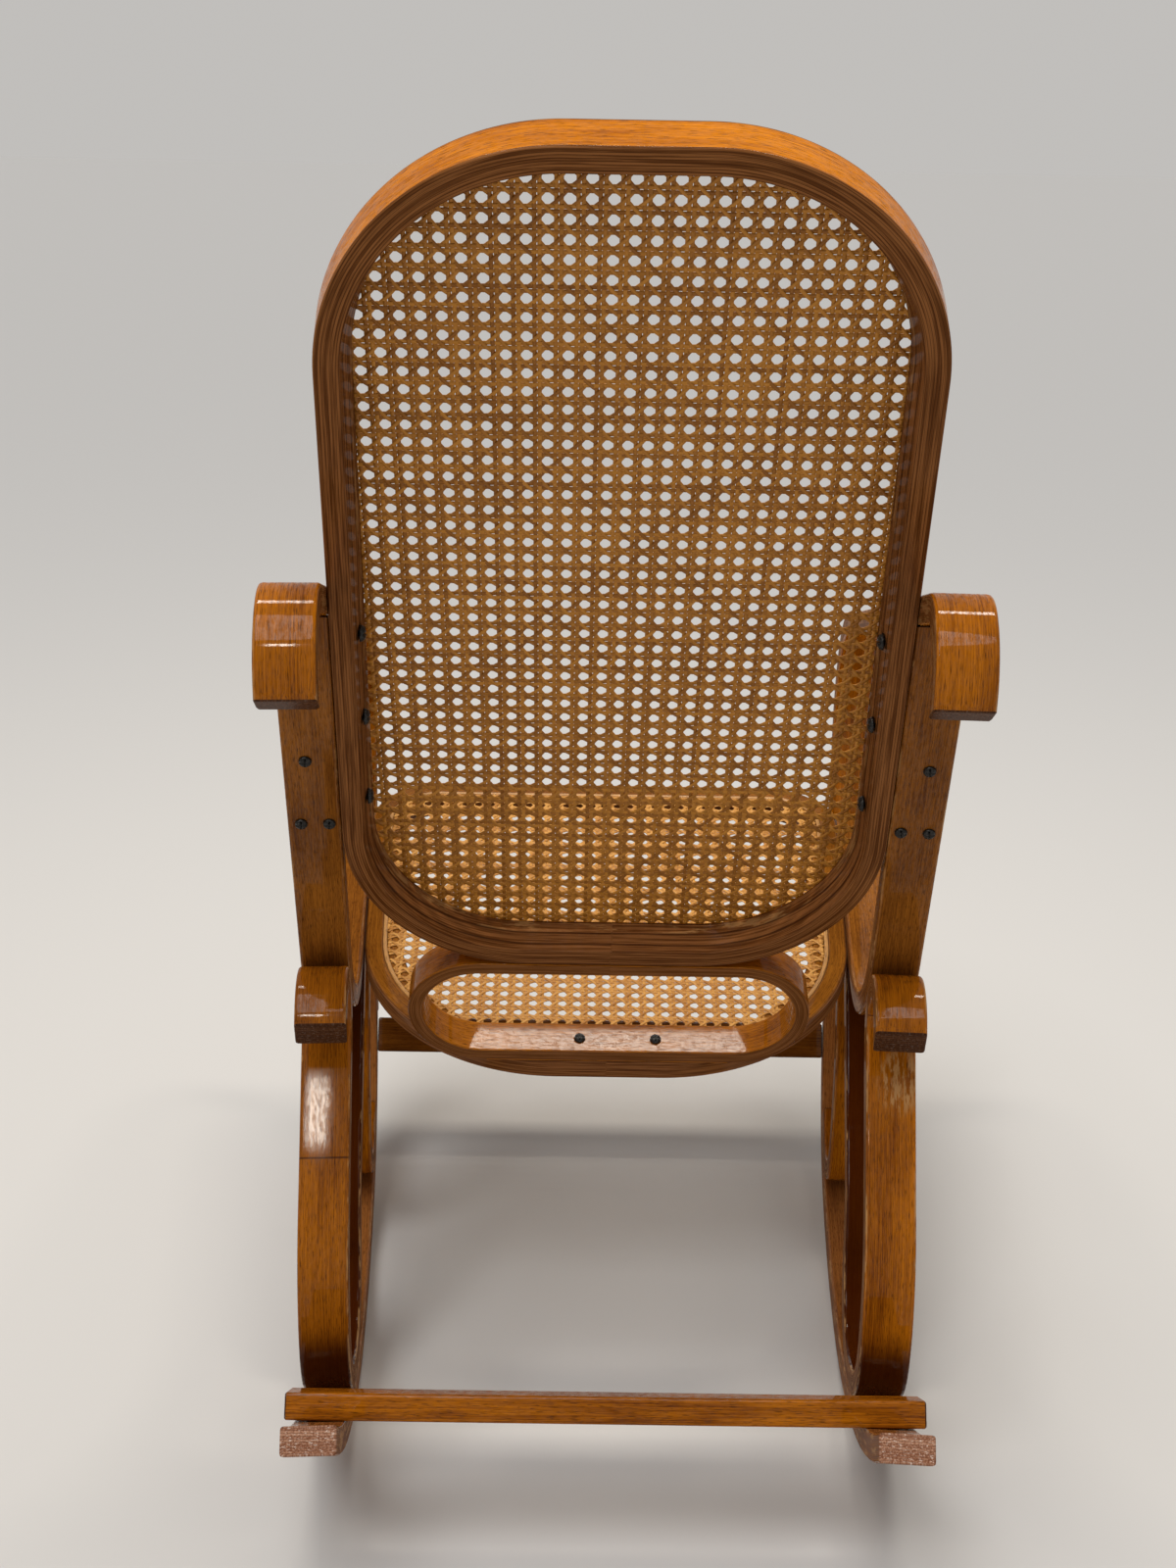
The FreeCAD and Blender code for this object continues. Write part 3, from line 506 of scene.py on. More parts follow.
class Tree:
    """Small helper that adds and joins shader nodes."""

    def __init__(self, tree):
        self.tree = tree
        self.column = 0

    def node(self, kind, **values):
        node = self.tree.nodes.new(kind)
        self.column += 1
        node.location = (180 * (self.column % 8), -260 * (self.column // 8))
        for name, value in values.items():
            setattr(node, name, value)
        return node

    def feed(self, socket, value):
        if isinstance(value, bpy.types.NodeSocket):
            self.tree.links.new(value, socket)
        else:
            socket.default_value = value

    def math(self, operation, first, second=0.0, third=0.0, clamp=False):
        node = self.node("ShaderNodeMath", operation=operation, use_clamp=clamp)
        for socket, value in zip(node.inputs, (first, second, third)):
            self.feed(socket, value)
        return node.outputs[0]

    def times(self, first, second, clamp=False):
        return self.math("MULTIPLY", first, second, clamp=clamp)

    def minus(self, first, second):
        return self.math("SUBTRACT", first, second)

    def scale(self, vector, by):
        node = self.node("ShaderNodeVectorMath", operation="MULTIPLY")
        self.feed(node.inputs[0], vector)
        node.inputs[1].default_value = by
        return node.outputs[0]

    def parts(self, vector):
        node = self.node("ShaderNodeSeparateXYZ")
        self.feed(node.inputs[0], vector)
        return node.outputs

    def noise(self, vector, by, detail=3.0, rough=0.6, distortion=0.0):
        """Noise in cells of one over each part of by."""
        node = self.node("ShaderNodeTexNoise")
        self.feed(node.inputs["Vector"], self.scale(vector, by))
        node.inputs["Scale"].default_value = 1.0
        node.inputs["Detail"].default_value = detail
        node.inputs["Roughness"].default_value = rough
        node.inputs["Distortion"].default_value = distortion
        return node.outputs["Fac"]

    def random(self, value):
        node = self.node("ShaderNodeTexWhiteNoise", noise_dimensions="1D")
        self.feed(node.inputs["W"], value)
        return node.outputs["Value"]

    def ramp(self, value, low, high, out_low=0.0, out_high=1.0):
        node = self.node("ShaderNodeMapRange", interpolation_type="SMOOTHSTEP")
        self.feed(node.inputs["Value"], value)
        for name, bound in (("From Min", low), ("From Max", high), ("To Min", out_low), ("To Max", out_high)):
            node.inputs[name].default_value = bound
        return node.outputs["Result"]

    def mix(self, factor, first, second):
        node = self.node("ShaderNodeMix", data_type="RGBA", blend_type="MIX")
        self.feed(node.inputs["Factor"], factor)
        self.feed(node.inputs[6], first)
        self.feed(node.inputs[7], second)
        return node.outputs[2]

    def group(self, group, place, **values):
        """One of the groups below, at the place of the grain."""
        node = self.node("ShaderNodeGroup", node_tree=group)
        self.feed(node.inputs["Place"], place)
        for name, value in values.items():
            self.feed(node.inputs[name], value)
        return node.outputs

    def grain_place(self):
        return self.node("ShaderNodeAttribute", attribute_name="grain",
                         attribute_type="GEOMETRY").outputs["Vector"]

    def bump(self, shader, height, strength, distance):
        node = self.node("ShaderNodeBump")
        node.inputs["Strength"].default_value = strength
        node.inputs["Distance"].default_value = distance
        self.feed(node.inputs["Height"], height)
        self.feed(shader["Normal"], node.outputs["Normal"])


COLOUR = "NodeSocketColor"
NUMBER = "NodeSocketFloat"
PLACE = "NodeSocketVector"


def shader_group(name, inputs, outputs):
    """Build a node group once, when it is first asked for. The function below fills it."""
    def wrap(fill):
        def find():
            if name not in bpy.data.node_groups:
                group = bpy.data.node_groups.new(name, "ShaderNodeTree")
                group.interface.new_socket(name="Place", in_out="INPUT", socket_type=PLACE)
                for socket, kind, default in inputs:
                    made = group.interface.new_socket(name=socket, in_out="INPUT", socket_type=kind)
                    made.default_value = default
                for socket, kind in outputs:
                    group.interface.new_socket(name=socket, in_out="OUTPUT", socket_type=kind)
                tree = Tree(group)
                given = tree.node("NodeGroupInput").outputs
                result = tree.node("NodeGroupOutput").inputs
                for socket, value in fill(tree, given).items():
                    tree.feed(result[socket], value)
            return bpy.data.node_groups[name]
        return find
    return wrap


@shader_group("Lengthwise grain",
              [("Light", COLOUR, (0.5, 0.2, 0.05, 1)), ("Dark", COLOUR, (0.2, 0.06, 0.02, 1)),
               ("Strength", NUMBER, 1.0)],
              [("Colour", COLOUR), ("Height", NUMBER), ("Roughness", NUMBER)])
def lengthwise_grain(tree, given):
    """Streaks and flecks that run with the bent wood."""
    place = given["Place"]
    broad = tree.noise(place, (4.0, 60.0, 60.0), 3.0, 0.5, 0.6)
    streak = tree.noise(place, (16.0, 900.0, 900.0), 4.0, 0.65)
    fleck = tree.noise(place, (120.0, 1900.0, 1900.0), 2.0, 0.5)
    cloud = tree.noise(place, (9.0, 16.0, 16.0))
    tone = tree.times(tree.ramp(broad, 0.34, 0.68), 0.26)
    tone = tree.math("MULTIPLY_ADD", tree.ramp(streak, 0.38, 0.62), 0.42, tone)
    tone = tree.math("MULTIPLY_ADD", tree.ramp(cloud, 0.35, 0.65), 0.32, tone)
    tone = tree.times(tone, given["Strength"], clamp=True)
    colour = tree.mix(tone, given["Light"], given["Dark"])
    pores = tree.times(tree.ramp(fleck, 0.54, 0.66), 0.65)
    return {"Colour": tree.mix(pores, colour, (0.03, 0.008, 0.002, 1.0)),
            "Height": tree.math("MULTIPLY_ADD", streak, 0.6, tree.times(fleck, 0.4)),
            "Roughness": tree.ramp(cloud, 0.3, 0.7, 0.24, 0.36)}


@shader_group("Glued layers",
              [("Wood", COLOUR, (0.15, 0.05, 0.02, 1)), ("Pale", COLOUR, (0.26, 0.1, 0.03, 1)),
               ("Line", COLOUR, (0.04, 0.02, 0.01, 1)), ("Layer", NUMBER, 0.0013)],
              [("Colour", COLOUR), ("Height", NUMBER)])
def glued_layers(tree, given):
    """The thin layers of laminated wood, seen where the stack is cut."""
    place = given["Place"]
    wander = tree.noise(place, (9.0, 0.0, 0.0), 2.0, 0.5)
    stack = tree.math("DIVIDE", tree.parts(place)["Z"], given["Layer"])
    stack = tree.math("MULTIPLY_ADD", wander, 0.7, stack)
    depth = tree.math("ABSOLUTE", tree.minus(tree.math("FRACT", stack), 0.5))
    line = tree.ramp(depth, 0.34, 0.5)
    fibre = tree.noise(place, (16.0, 700.0, 700.0))
    shade = tree.random(tree.math("FLOOR", stack))
    tone = tree.math("MULTIPLY_ADD", shade, 0.5, tree.ramp(fibre, 0.32, 0.68))
    light = tree.mix(tree.ramp(tone, 0.25, 1.25), given["Wood"], given["Pale"])
    return {"Colour": tree.mix(tree.times(line, 0.8), light, given["Line"]),
            "Height": tree.math("MULTIPLY_ADD", line, -0.6, fibre)}


@shader_group("Edge wear", [("Amount", NUMBER, 0.5), ("Reach", NUMBER, 0.0195)], [("Mask", NUMBER)])
def edge_wear(tree, given):
    """Pale rubbed patches along the two long edges of a ribbon."""
    across = tree.math("ABSOLUTE", tree.parts(given["Place"])["Y"])
    edge = tree.ramp(tree.minus(across, given["Reach"]), -0.0021, -0.0006)
    patch = tree.ramp(tree.noise(given["Place"], (26.0, 160.0, 160.0), 4.0, 0.7), 0.50, 0.60)
    return {"Mask": tree.times(tree.times(edge, patch), given["Amount"], clamp=True)}


@shader_group("Spliced sheet",
              [("Colour", COLOUR, (0.4, 0.12, 0.01, 1)), ("Splice", NUMBER, 0.2), ("Wiped", NUMBER, 0.35)],
              [("Colour", COLOUR)])
def spliced_sheet_and_painted_shade(tree, given):
    """Where one sheet of veneer ends on the next, and painted shade that darkens the ribbon from a place on,
    where it turns under.
    """
    along = tree.parts(given["Place"])["X"]
    beyond = tree.minus(along, given["Splice"])
    seam = tree.ramp(tree.math("ABSOLUTE", beyond), 0.0004, 0.0012, 0.75, 0.0)
    first = tree.times(tree.math("LESS_THAN", beyond, 0.0), 0.14)
    # Painted shade: beyond this place the ribbon turns under and is painted near black.
    wiped = tree.times(tree.ramp(tree.minus(along, given["Wiped"]), 0.0, 0.035), 0.93)
    colour = tree.mix(first, given["Colour"], (0.12, 0.032, 0.006, 1.0))
    colour = tree.mix(seam, colour, (0.03, 0.008, 0.003, 1.0))
    return {"Colour": tree.mix(wiped, colour, (0.036, 0.005, 0.001, 1.0))}


@shader_group("Rubbed patch", [("Along", NUMBER, 0.0), ("Across", NUMBER, 0.0)], [("Mask", NUMBER)])
def rubbed_patch(tree, given):
    """One rubbed spot, broken up along the grain."""
    parts = tree.parts(given["Place"])
    along = tree.math("DIVIDE", tree.minus(parts["X"], given["Along"]), 0.032)
    across = tree.math("DIVIDE", tree.minus(parts["Y"], given["Across"]), 0.021)
    far = tree.math("ADD", tree.times(along, along), tree.times(across, across))
    spots = tree.noise(given["Place"], (75.0, 330.0, 330.0), 5.0, 0.7)
    return {"Mask": tree.times(tree.ramp(far, 0.15, 1.0, 0.85, 0.0), tree.ramp(spots, 0.44, 0.60))}


# Materials

def built_once(build):
    """Build a material once, and hand the same one back when its name comes again."""
    def find(name, *rest, **more):
        return bpy.data.materials.get(name) or build(name, *rest, **more)
    return find


def new_material(name, roughness, coat=0.0, coat_roughness=0.1, specular=0.5, metallic=0.0):
    material = bpy.data.materials.new(name)
    material.use_nodes = True
    shader = material.node_tree.nodes["Principled BSDF"].inputs
    shader["Roughness"].default_value = roughness
    shader["Coat Weight"].default_value = coat
    shader["Coat Roughness"].default_value = coat_roughness
    shader["Coat IOR"].default_value = 1.3
    shader["Specular IOR Level"].default_value = specular
    shader["Metallic"].default_value = metallic
    return material, Tree(material.node_tree), shader


@built_once
def veneer(name, wear=0.6, splice=None, wiped=None, rub=None):
    """Lacquered veneer. splice, the start of the painted shade and rub are places along one ribbon's grain.
    """
    material, tree, shader = new_material(name, 0.3, 0.7, 0.05, specular=0.0)
    place = tree.grain_place()
    light, dark = TONES.get(name) or (finish("amber"), finish("chestnut"))
    grain = tree.group(lengthwise_grain(), place, Light=light, Dark=dark)
    worn = tree.group(edge_wear(), place, Amount=wear)
    colour = grain["Colour"]
    if splice is not None:
        # Splice, and the painted shade further along
        colour = tree.group(spliced_sheet_and_painted_shade(), place, Colour=colour, Splice=splice, Wiped=wiped)["Colour"]
    colour = tree.mix(worn["Mask"], colour, finish("worn"))
    if rub is not None:
        spot = tree.group(rubbed_patch(), place, Along=rub[0], Across=rub[1])
        colour = tree.mix(spot["Mask"], colour, finish("worn"))
    tree.feed(shader["Base Color"], colour)
    tree.feed(shader["Roughness"], grain["Roughness"])
    tree.bump(shader, grain["Height"], 0.12, 0.0004)
    glaze = tree.noise(place, (150.0, 420.0, 420.0), 3.0, 0.7)
    tree.feed(shader["Coat Weight"], tree.ramp(glaze, 0.38, 0.60, 0.30, 0.85))
    return material


@built_once
def laminate(name, layer=0.0013, wear=0.35, coat=0.14):
    """Edges of the glued layers."""
    material, tree, shader = new_material(name, 0.36, coat, 0.12, specular=0.0)
    place = tree.grain_place()
    wood = LAYER_TONES.get(name) or finish("laminate")
    stack = tree.group(glued_layers(), place, Wood=wood, Layer=layer,
                       Pale=finish("pale_layer"), Line=finish("glue_line"))
    worn = tree.group(edge_wear(), place, Amount=wear)
    tree.feed(shader["Base Color"], tree.mix(worn["Mask"], stack["Colour"], finish("worn")))
    tree.bump(shader, stack["Height"], 0.25, 0.0003)
    return material


@built_once
def end_grain(name, scuffs=0.1):
    """Sawn end of a ribbon, with the scuffs it has picked up from the floor."""
    material, tree, shader = new_material(name, 0.42, 0.25, 0.2, specular=0.0)
    place = tree.grain_place()
    pale, wood = TONES[name]
    line = tuple(part * 0.45 for part in wood[:3]) + (1.0,)
    stack = tree.group(glued_layers(), place, Wood=wood, Layer=0.0021, Pale=pale, Line=line)
    spots = tree.noise(place, (900.0, 260.0, 900.0), 3.0, 0.7)
    scuff = tree.times(tree.ramp(spots, 0.56, 0.66), scuffs)
    tree.feed(shader["Base Color"], tree.mix(scuff, stack["Colour"], (0.80, 0.66, 0.56, 1.0)))
    tree.bump(shader, stack["Height"], 0.4, 0.0004)
    return material


@built_once
def cane_material(name):
    """Cane, each strand a little different."""
    material, tree, shader = new_material(name, 0.42, 0.2, 0.2, specular=0.25)
    place = tree.grain_place()
    # The back cane falls back on straw and rattan, darker as painted shade; the seat cane takes Pale cane.
    light, dark = TONES.get(name) or (finish("straw"), finish("rattan"))
    strand = tree.random(tree.math("FLOOR", tree.parts(place)["Z"]))
    fibre = tree.noise(place, (30.0, 4000.0, 7.0))
    patch = tree.noise(place, (11.0, 1.0, 0.7))
    tone = tree.math("MULTIPLY_ADD", strand, 0.45, tree.times(fibre, 0.35))
    tone = tree.math("MULTIPLY_ADD", patch, 0.5, tone)
    tree.feed(shader["Base Color"], tree.mix(tree.ramp(tone, 0.35, 0.95), light, dark))
    tree.bump(shader, fibre, 0.3, 0.0002)
    return material


@built_once
def reed_material(name):
    material, tree, shader = new_material(name, 0.38, 0.4, 0.12)
    grain = tree.group(lengthwise_grain(), tree.grain_place(), Light=finish("reed"),
                       Dark=(0.34, 0.16, 0.05, 1.0), Strength=0.9)
    tree.feed(shader["Base Color"], grain["Colour"])
    tree.bump(shader, grain["Height"], 0.25, 0.0004)
    return material


@built_once
def screw_material(name):
    material, tree, shader = new_material(name, 0.35, 0.3, 0.2, metallic=0.7)
    spot = tree.node("ShaderNodeTexCoord").outputs["Object"]
    scuff = tree.noise(spot, (900.0, 900.0, 900.0))
    worn = tree.ramp(scuff, 0.45, 0.75)
    tree.feed(shader["Base Color"], tree.mix(worn, finish("black"), (0.06, 0.055, 0.05, 1.0)))
    tree.feed(shader["Roughness"], tree.ramp(scuff, 0.3, 0.7, 0.28, 0.5))
    return material


@built_once
def plain_material(name, colour, roughness, specular):
    material, tree, shader = new_material(name, roughness, specular=specular)
    tree.feed(shader["Base Color"], colour)
    return material


# Pieces

def ribbon_looks(name, side, seed):
    """Materials for the broad faces, the layered edges and the sawn ends of one ribbon."""
    outer, edge, cap = veneer("Lacquered veneer"), laminate("Laminate edge"), end_grain("Sawn end")
    wiped = seed + 0.345  # where the painted shade starts on the lower scroll, which turns under there
    if name == "side_rail":
        # The side rail takes the darker Rail veneer, as painted shade.
        outer = veneer("Rail veneer")
    elif name == "runner":
        outer = veneer("Runner veneer")
        edge = laminate("Runner edge", wear=0.5)
        cap = end_grain("Scuffed end", 0.75)
    elif name == "lower_scroll" and side == "left":
        # The left lower scroll takes a darker veneer, as painted shade.
        outer = veneer("Left scroll veneer", 0.8, seed + 0.226, wiped)
    elif name == "lower_scroll":
        outer = veneer("Right scroll veneer", 0.9, seed + 0.100, wiped, (seed + 0.159, 0.0065))
    return [outer, edge, cap]


class ROCKER_OT_ribbons(bpy.types.Operator):
    """Bend the ribbons of both side frames"""
    bl_idname = "rocker.ribbons"
    bl_label = "Side frames"

    def execute(self, context):
        half, wide = sizes().ribbon_thickness / 2.0, sizes().ribbon_width / 2.0
        corners = [(-half, -wide), (half, -wide), (half, wide), (-half, wide)]
        section = rounded(corners, sizes().ribbon_edge)
        lines = ribbon_lines()
        for side, sign, first in (("left", -1.0, 0.0), ("right", 1.0, 23.0)):
            for number, (name, (line, slant)) in enumerate(lines.items()):
                seed = 3.1 * number + first
                bm = sweep(line, section, seed, slant)
                settle(bm, side + "_" + name + "_bent", side_place(sign), ribbon_looks(name, side, seed),
                       "bent_wood", side + "_" + name)
        return {"FINISHED"}


class ROCKER_OT_stretchers(bpy.types.Operator):
    """Lay the two boards that tie the side frames together"""
    bl_idname = "rocker.stretchers"
    bl_label = "Stretchers"

    def execute(self, context):
        wide, thick, edge = 0.0175, 0.010, 0.003
        section = rounded([(-wide, -thick), (wide, -thick), (wide, thick), (-wide, thick)], edge)
        rear_forward = 0.094
        rear_lean = math.asin((rear_forward - ROCKER_FORWARD) / (ROCKER_RADIUS - thick))
        for name, wood, lean in (("rear_stretcher", "Lacquered veneer", rear_lean),
                                 ("front_stretcher", "Shaded veneer", math.radians(64.0))):
            low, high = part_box(name)
            middle = (Vector(low) + Vector(high)) / 2.0
            length = high[0] - low[0]
            line = BentLine((-length / 2.0, 0.0), 0.0).straight(length)
            bm = sweep(line, section, 41.0 + length)
            place = Matrix.Translation(middle) @ Matrix.Rotation(lean, 4, "X")
            settle(bm, name + "_board", place, [veneer(wood), veneer(wood), end_grain("Sawn end")],
                   "bent_wood", name)
        return {"FINISHED"}


class ROCKER_OT_hoop(bpy.types.Operator):
    """Bend the tall hoop of the back"""
    bl_idname = "rocker.hoop"
    bl_label = "Back hoop"

    def execute(self, context):
        # outer face, front, rebate for the cane, groove for the reed and the drafted inner face
        corners = [(0.0, 0.0), (-0.00195, HOOP_DEPTH), (0.013, HOOP_DEPTH), (0.013, 0.024), (0.0176, 0.024),
                   (0.0176, 0.028), (0.0211, 0.028), (HOOP_WALL, 0.0)]
        section = rounded(corners, [0.0022, 0.0025, 0.0012, 0.0, 0.0, 0.0004, 0.0006, 0.0014])
        section = [(inset, -depth) for inset, depth in section]
        bm = sweep(hoop_line(), section, 60.0, loop=True, bend_step=2.0, flat=0.12)
        looks = [veneer("Hoop veneer", 0.0), laminate("Hoop laminate", 0.0018, 0.4, 0.16)]
        settle(bm, "back_hoop", back_place(), looks, "hoop_wood", "back_frame")
        return {"FINISHED"}


class ROCKER_OT_seat_ring(bpy.types.Operator):
    """Shape the ring that carries the seat"""
    bl_idname = "rocker.seat_ring"
    bl_label = "Seat ring"

    def execute(self, context):
        # top face, groove for the reed, rebate for the cane and the underside
        groove, ledge, inner, under = 0.016, 0.0206, 0.034, -0.018
        corners = [(0.0, 0.0), (groove, 0.0), (groove, -0.0056), (ledge, -0.0056), (ledge, -0.0016),
                   (inner, -0.0016), (inner, under), (0.0, under)]
        section = rounded(corners, [0.0028, 0.0008, 0.0, 0.0, 0.0004, 0.002, 0.0015, 0.0025])
        bm = sweep(seat_line(), section, 70.0, loop=True, bend_step=2.5)
        looks = [laminate("Lower ring edge", 0.0016, 0.3, 0.35), veneer("Ring veneer")]
        settle(bm, "seat_ring", seat_place(), looks, "hoop_wood", "seat_frame")
        return {"FINISHED"}


class ROCKER_OT_spacer(bpy.types.Operator):
    """Bend the oval between the hoop and the seat"""
    bl_idname = "rocker.spacer"
    bl_label = "Oval spacer"

    def execute(self, context):
        corners = [(0.0, 0.0), (0.0, -SPACER_DEPTH), (SPACER_WALL, -SPACER_DEPTH), (SPACER_WALL, 0.0)]
        bm = sweep(spacer_line(), rounded(corners, 0.0015), 80.0, loop=True)
        # a block under the oval, cut to the slope of the seat it stands on
        foot = bmesh.ops.create_cube(bm, size=1.0)["verts"]
        bmesh.ops.scale(bm, vec=(0.2, 0.010, 0.0296), verts=foot)
        under = SPACER_TOP - SPACER_HEIGHT - 0.004
        bmesh.ops.translate(bm, vec=(0.0, under, -SPACER_DEPTH / 2.0), verts=foot)
        grain = bm.verts.layers.float_vector["grain"]
        for vert in foot:
            vert[grain] = (85.0 + vert.co.x, vert.co.z, vert.co.y)
        seat = back_place().inverted() @ seat_place()
        normal = seat.to_3x3() @ Vector((0, 0, 1))
        geometry = bm.verts[:] + bm.edges[:] + bm.faces[:]
        cut = bmesh.ops.bisect_plane(bm, geom=geometry, plane_co=seat.translation + normal * 0.0001,
                                     plane_no=normal, clear_inner=True)
        rim = [item for item in cut["geom_cut"] if isinstance(item, bmesh.types.BMEdge)]
        bmesh.ops.edgeloop_fill(bm, edges=rim, mat_nr=EDGE)
        looks = [veneer("Spacer veneer", 0.0), laminate("Laminate edge")]
        settle(bm, "oval_spacer", back_place(), looks, "bent_wood", "back_spacer")
        return {"FINISHED"}


def outline_points(line, count=30):
    """Points along a closed line, to trim strands with."""
    points = []
    for run in line.runs:
        if run[0] == "straight":
            points.append(run[3])
            continue
        turn = 1.0 if run[4] > run[2] else -1.0
        for step in range(count):
            heading = run[2] + (run[4] - run[2]) * step / count
            points.append(run[3] - left(heading) * turn * run[1])
    return points


def inside_span(points, start, direction):
    """The stretch of a line that lies inside a convex counter-clockwise outline."""
    low, high, shortest = -10.0, 10.0, 0.004
    for number, corner in enumerate(points):
        edge = points[(number + 1) % len(points)] - corner
        if edge.length < 1e-9:
            continue
        inward = Vector((-edge.y, edge.x)).normalized()
        distance = (start - corner).dot(inward)
        speed = direction.dot(inward)
        if abs(speed) < 1e-12:
            if distance < 0.0:
                return None
        elif speed > 0.0:
            low = max(low, -distance / speed)
        else:
            high = min(high, -distance / speed)
    return (low, high) if high - low > shortest else None


def lift_at(stations, distance):
    """A strand's lift between two of its stations."""
    before = stations[0]
    for item in stations:
        if item[0] > distance:
            share = (distance - before[0]) / max(item[0] - before[0], 1e-9)
            return before[1] + (item[1] - before[1]) * share
        before = item
    return before[1]


class Weave:
    """Strands of a cane panel, each a thin strip, gathered into one mesh."""

    def __init__(self, points, first):
        self.points = points
        self.bm = bmesh.new()
        self.bm.verts.layers.float_vector.new("grain")
        self.number = first

    def strand(self, start, direction, stations, width):
        """stations lists (distance, lift) along the strand."""
        span = inside_span(self.points, start, direction)
        if span is None:
            return
        low, high = span
        spare = 0.0006
        kept = [(low, lift_at(stations, low))]
        kept += [item for item in stations if low + spare < item[0] < high - spare]
        kept.append((high, lift_at(stations, high)))
        strip = bmesh.new()
        grain = strip.verts.layers.float_vector.new("grain")
        count = len(kept) - 1
        bmesh.ops.create_grid(strip, x_segments=count, y_segments=1, size=0.5)
        side = Vector((-direction.y, direction.x))
        for vert in strip.verts:
            distance, lift = kept[int(round((vert.co.x + 0.5) * count))]
            reach = width / 2.0 * (1.0 if vert.co.y > 0 else -1.0)
            spot = start + direction * distance + side * reach
            vert.co = (spot.x, spot.y, lift)
            vert[grain] = (distance + 0.7 * self.number, reach, self.number + 0.5)
        for face in strip.faces:
            face.smooth = True
        mesh = bpy.data.meshes.new("strand")
        strip.to_mesh(mesh)
        strip.free()
        self.bm.from_mesh(mesh)
        bpy.data.meshes.remove(mesh)
        self.number += 1


def weave_panel(name, line, middle_up, level, place, material):
    """Six-way cane: pairs of uprights and levels, and two sets of diagonals. Holes sit
    on a square grid, pairs run between them, and diagonals cross where pairs are bare."""
    pitch = sizes().weave_pitch
    apart = sizes().pair_spacing
    middle = Vector((0.0, middle_up))
    points = outline_points(line)
    xs = [p.x for p in points]
    ys = [p.y for p in points]
    columns = int((max(xs) - min(xs)) / pitch / 2) + 2
    rows = int((max(ys) - min(ys)) / pitch / 2) + 2
    pair_lift, diagonal_lift, crossing_half, thickness = 0.00028, 0.00062, 0.0023, 0.00045
    sets = {"uprights": Weave(points, 0), "levels": Weave(points, 200),
            "rising": Weave(points, 400), "falling": Weave(points, 700)}
    for axis, count, other, key in ((0, columns, rows, "uprights"), (1, rows, columns, "levels")):
        sign = 1.0 if axis == 0 else -1.0
        direction = Vector((0.0, 1.0)) if axis == 0 else Vector((1.0, 0.0))
        for column in range(-count, count + 1):
            for hand in (-1.0, 1.0):
                across = (column + 0.5) * pitch + hand * apart
                stations = []
                for row in range(-other - 1, other + 2):
                    knot = (row + 0.5) * pitch
                    stations.append((knot - pitch / 2.0, 0.0))
                    stations.append((knot - apart, sign * hand * pair_lift))
                    stations.append((knot + apart, -sign * hand * pair_lift))
                start = middle + (Vector((across, 0.0)) if axis == 0 else Vector((0.0, across)))
                sets[key].strand(start, direction, stations, sizes().strand_width)
    diagonal = math.sqrt(0.5)
    gap = pitch * diagonal
    reach = columns + rows + 2
    for key, slope in (("rising", 1.0), ("falling", -1.0)):
        direction = Vector((diagonal, slope * diagonal))
        for number in range(-reach, reach + 1):
            start = middle + Vector((0.0, (number + 0.5) * pitch))
            stations = []
            for step in range(-2 * reach, 2 * reach + 1):
                # upright pairs are crossed at odd steps, level pairs at even steps
                lift = slope * (diagonal_lift if step % 2 else -diagonal_lift)
                stations.append((step * gap - crossing_half, lift))
                stations.append((step * gap + crossing_half, lift))
            sets[key].strand(start, direction, stations, sizes().diagonal_width)
    for key, weave in sets.items():
        piece_place = place @ Matrix.Translation((0.0, 0.0, level))
        bmesh.ops.recalc_face_normals(weave.bm, faces=weave.bm.faces)
        piece = settle(weave.bm, name + "_" + key, piece_place, [material], "cane", name, weighted=False)
        solid = piece.modifiers.new("Strand", "SOLIDIFY")
        solid.thickness = thickness
        solid.offset = 0.0


class ROCKER_OT_back_cane(bpy.types.Operator):
    """Weave the panel of the back"""
    bl_idname = "rocker.back_cane"
    bl_label = "Back cane"

    def execute(self, context):
        # The back cane's material is darker than the seat's, as painted shade.
        weave_panel("back_cane", hoop_line(0.0179), HOOP_HEIGHT / 2.0, -0.0290, back_place(),
                    cane_material("Back cane"))
        return {"FINISHED"}


class ROCKER_OT_seat_cane(bpy.types.Operator):
    """Weave the panel of the seat"""
    bl_idname = "rocker.seat_cane"
    bl_label = "Seat cane"

    def execute(self, context):
        weave_panel("seat_cane", seat_line(0.0209), SEAT_LENGTH / 2.0, -0.0008, seat_place(),
                    cane_material("Pale cane"))
        return {"FINISHED"}


class ROCKER_OT_splines(bpy.types.Operator):
    """Press the reed into the grooves round both panels"""
    bl_idname = "rocker.splines"
    bl_label = "Splines"

    def execute(self, context):
        half, foot, crown = 0.00205, -0.0052, 0.0003
        corners = [(-half, foot), (half, foot), (half, crown), (-half, crown)]
        section = rounded(corners, [0.0006, 0.0006, 0.0016, 0.0016])
        reed = reed_material("Lacquered reed")
        seat_inset, back_inset, back_depth = 0.0183, 0.0153, 0.0296
        shifted = [(inset + seat_inset, rise) for inset, rise in section]
        bm = sweep(seat_line(), shifted, 90.0, loop=True, bend_step=4.0)
        settle(bm, "seat_reed", seat_place(), [reed, reed], "spline", "seat_cane_spline")
        shifted = [(inset + back_inset, -rise - back_depth) for inset, rise in section]
        bm = sweep(hoop_line(), shifted, 95.0, loop=True, bend_step=4.0)
        settle(bm, "back_reed", back_place(), [reed, reed], "spline", "back_cane_spline")
        return {"FINISHED"}


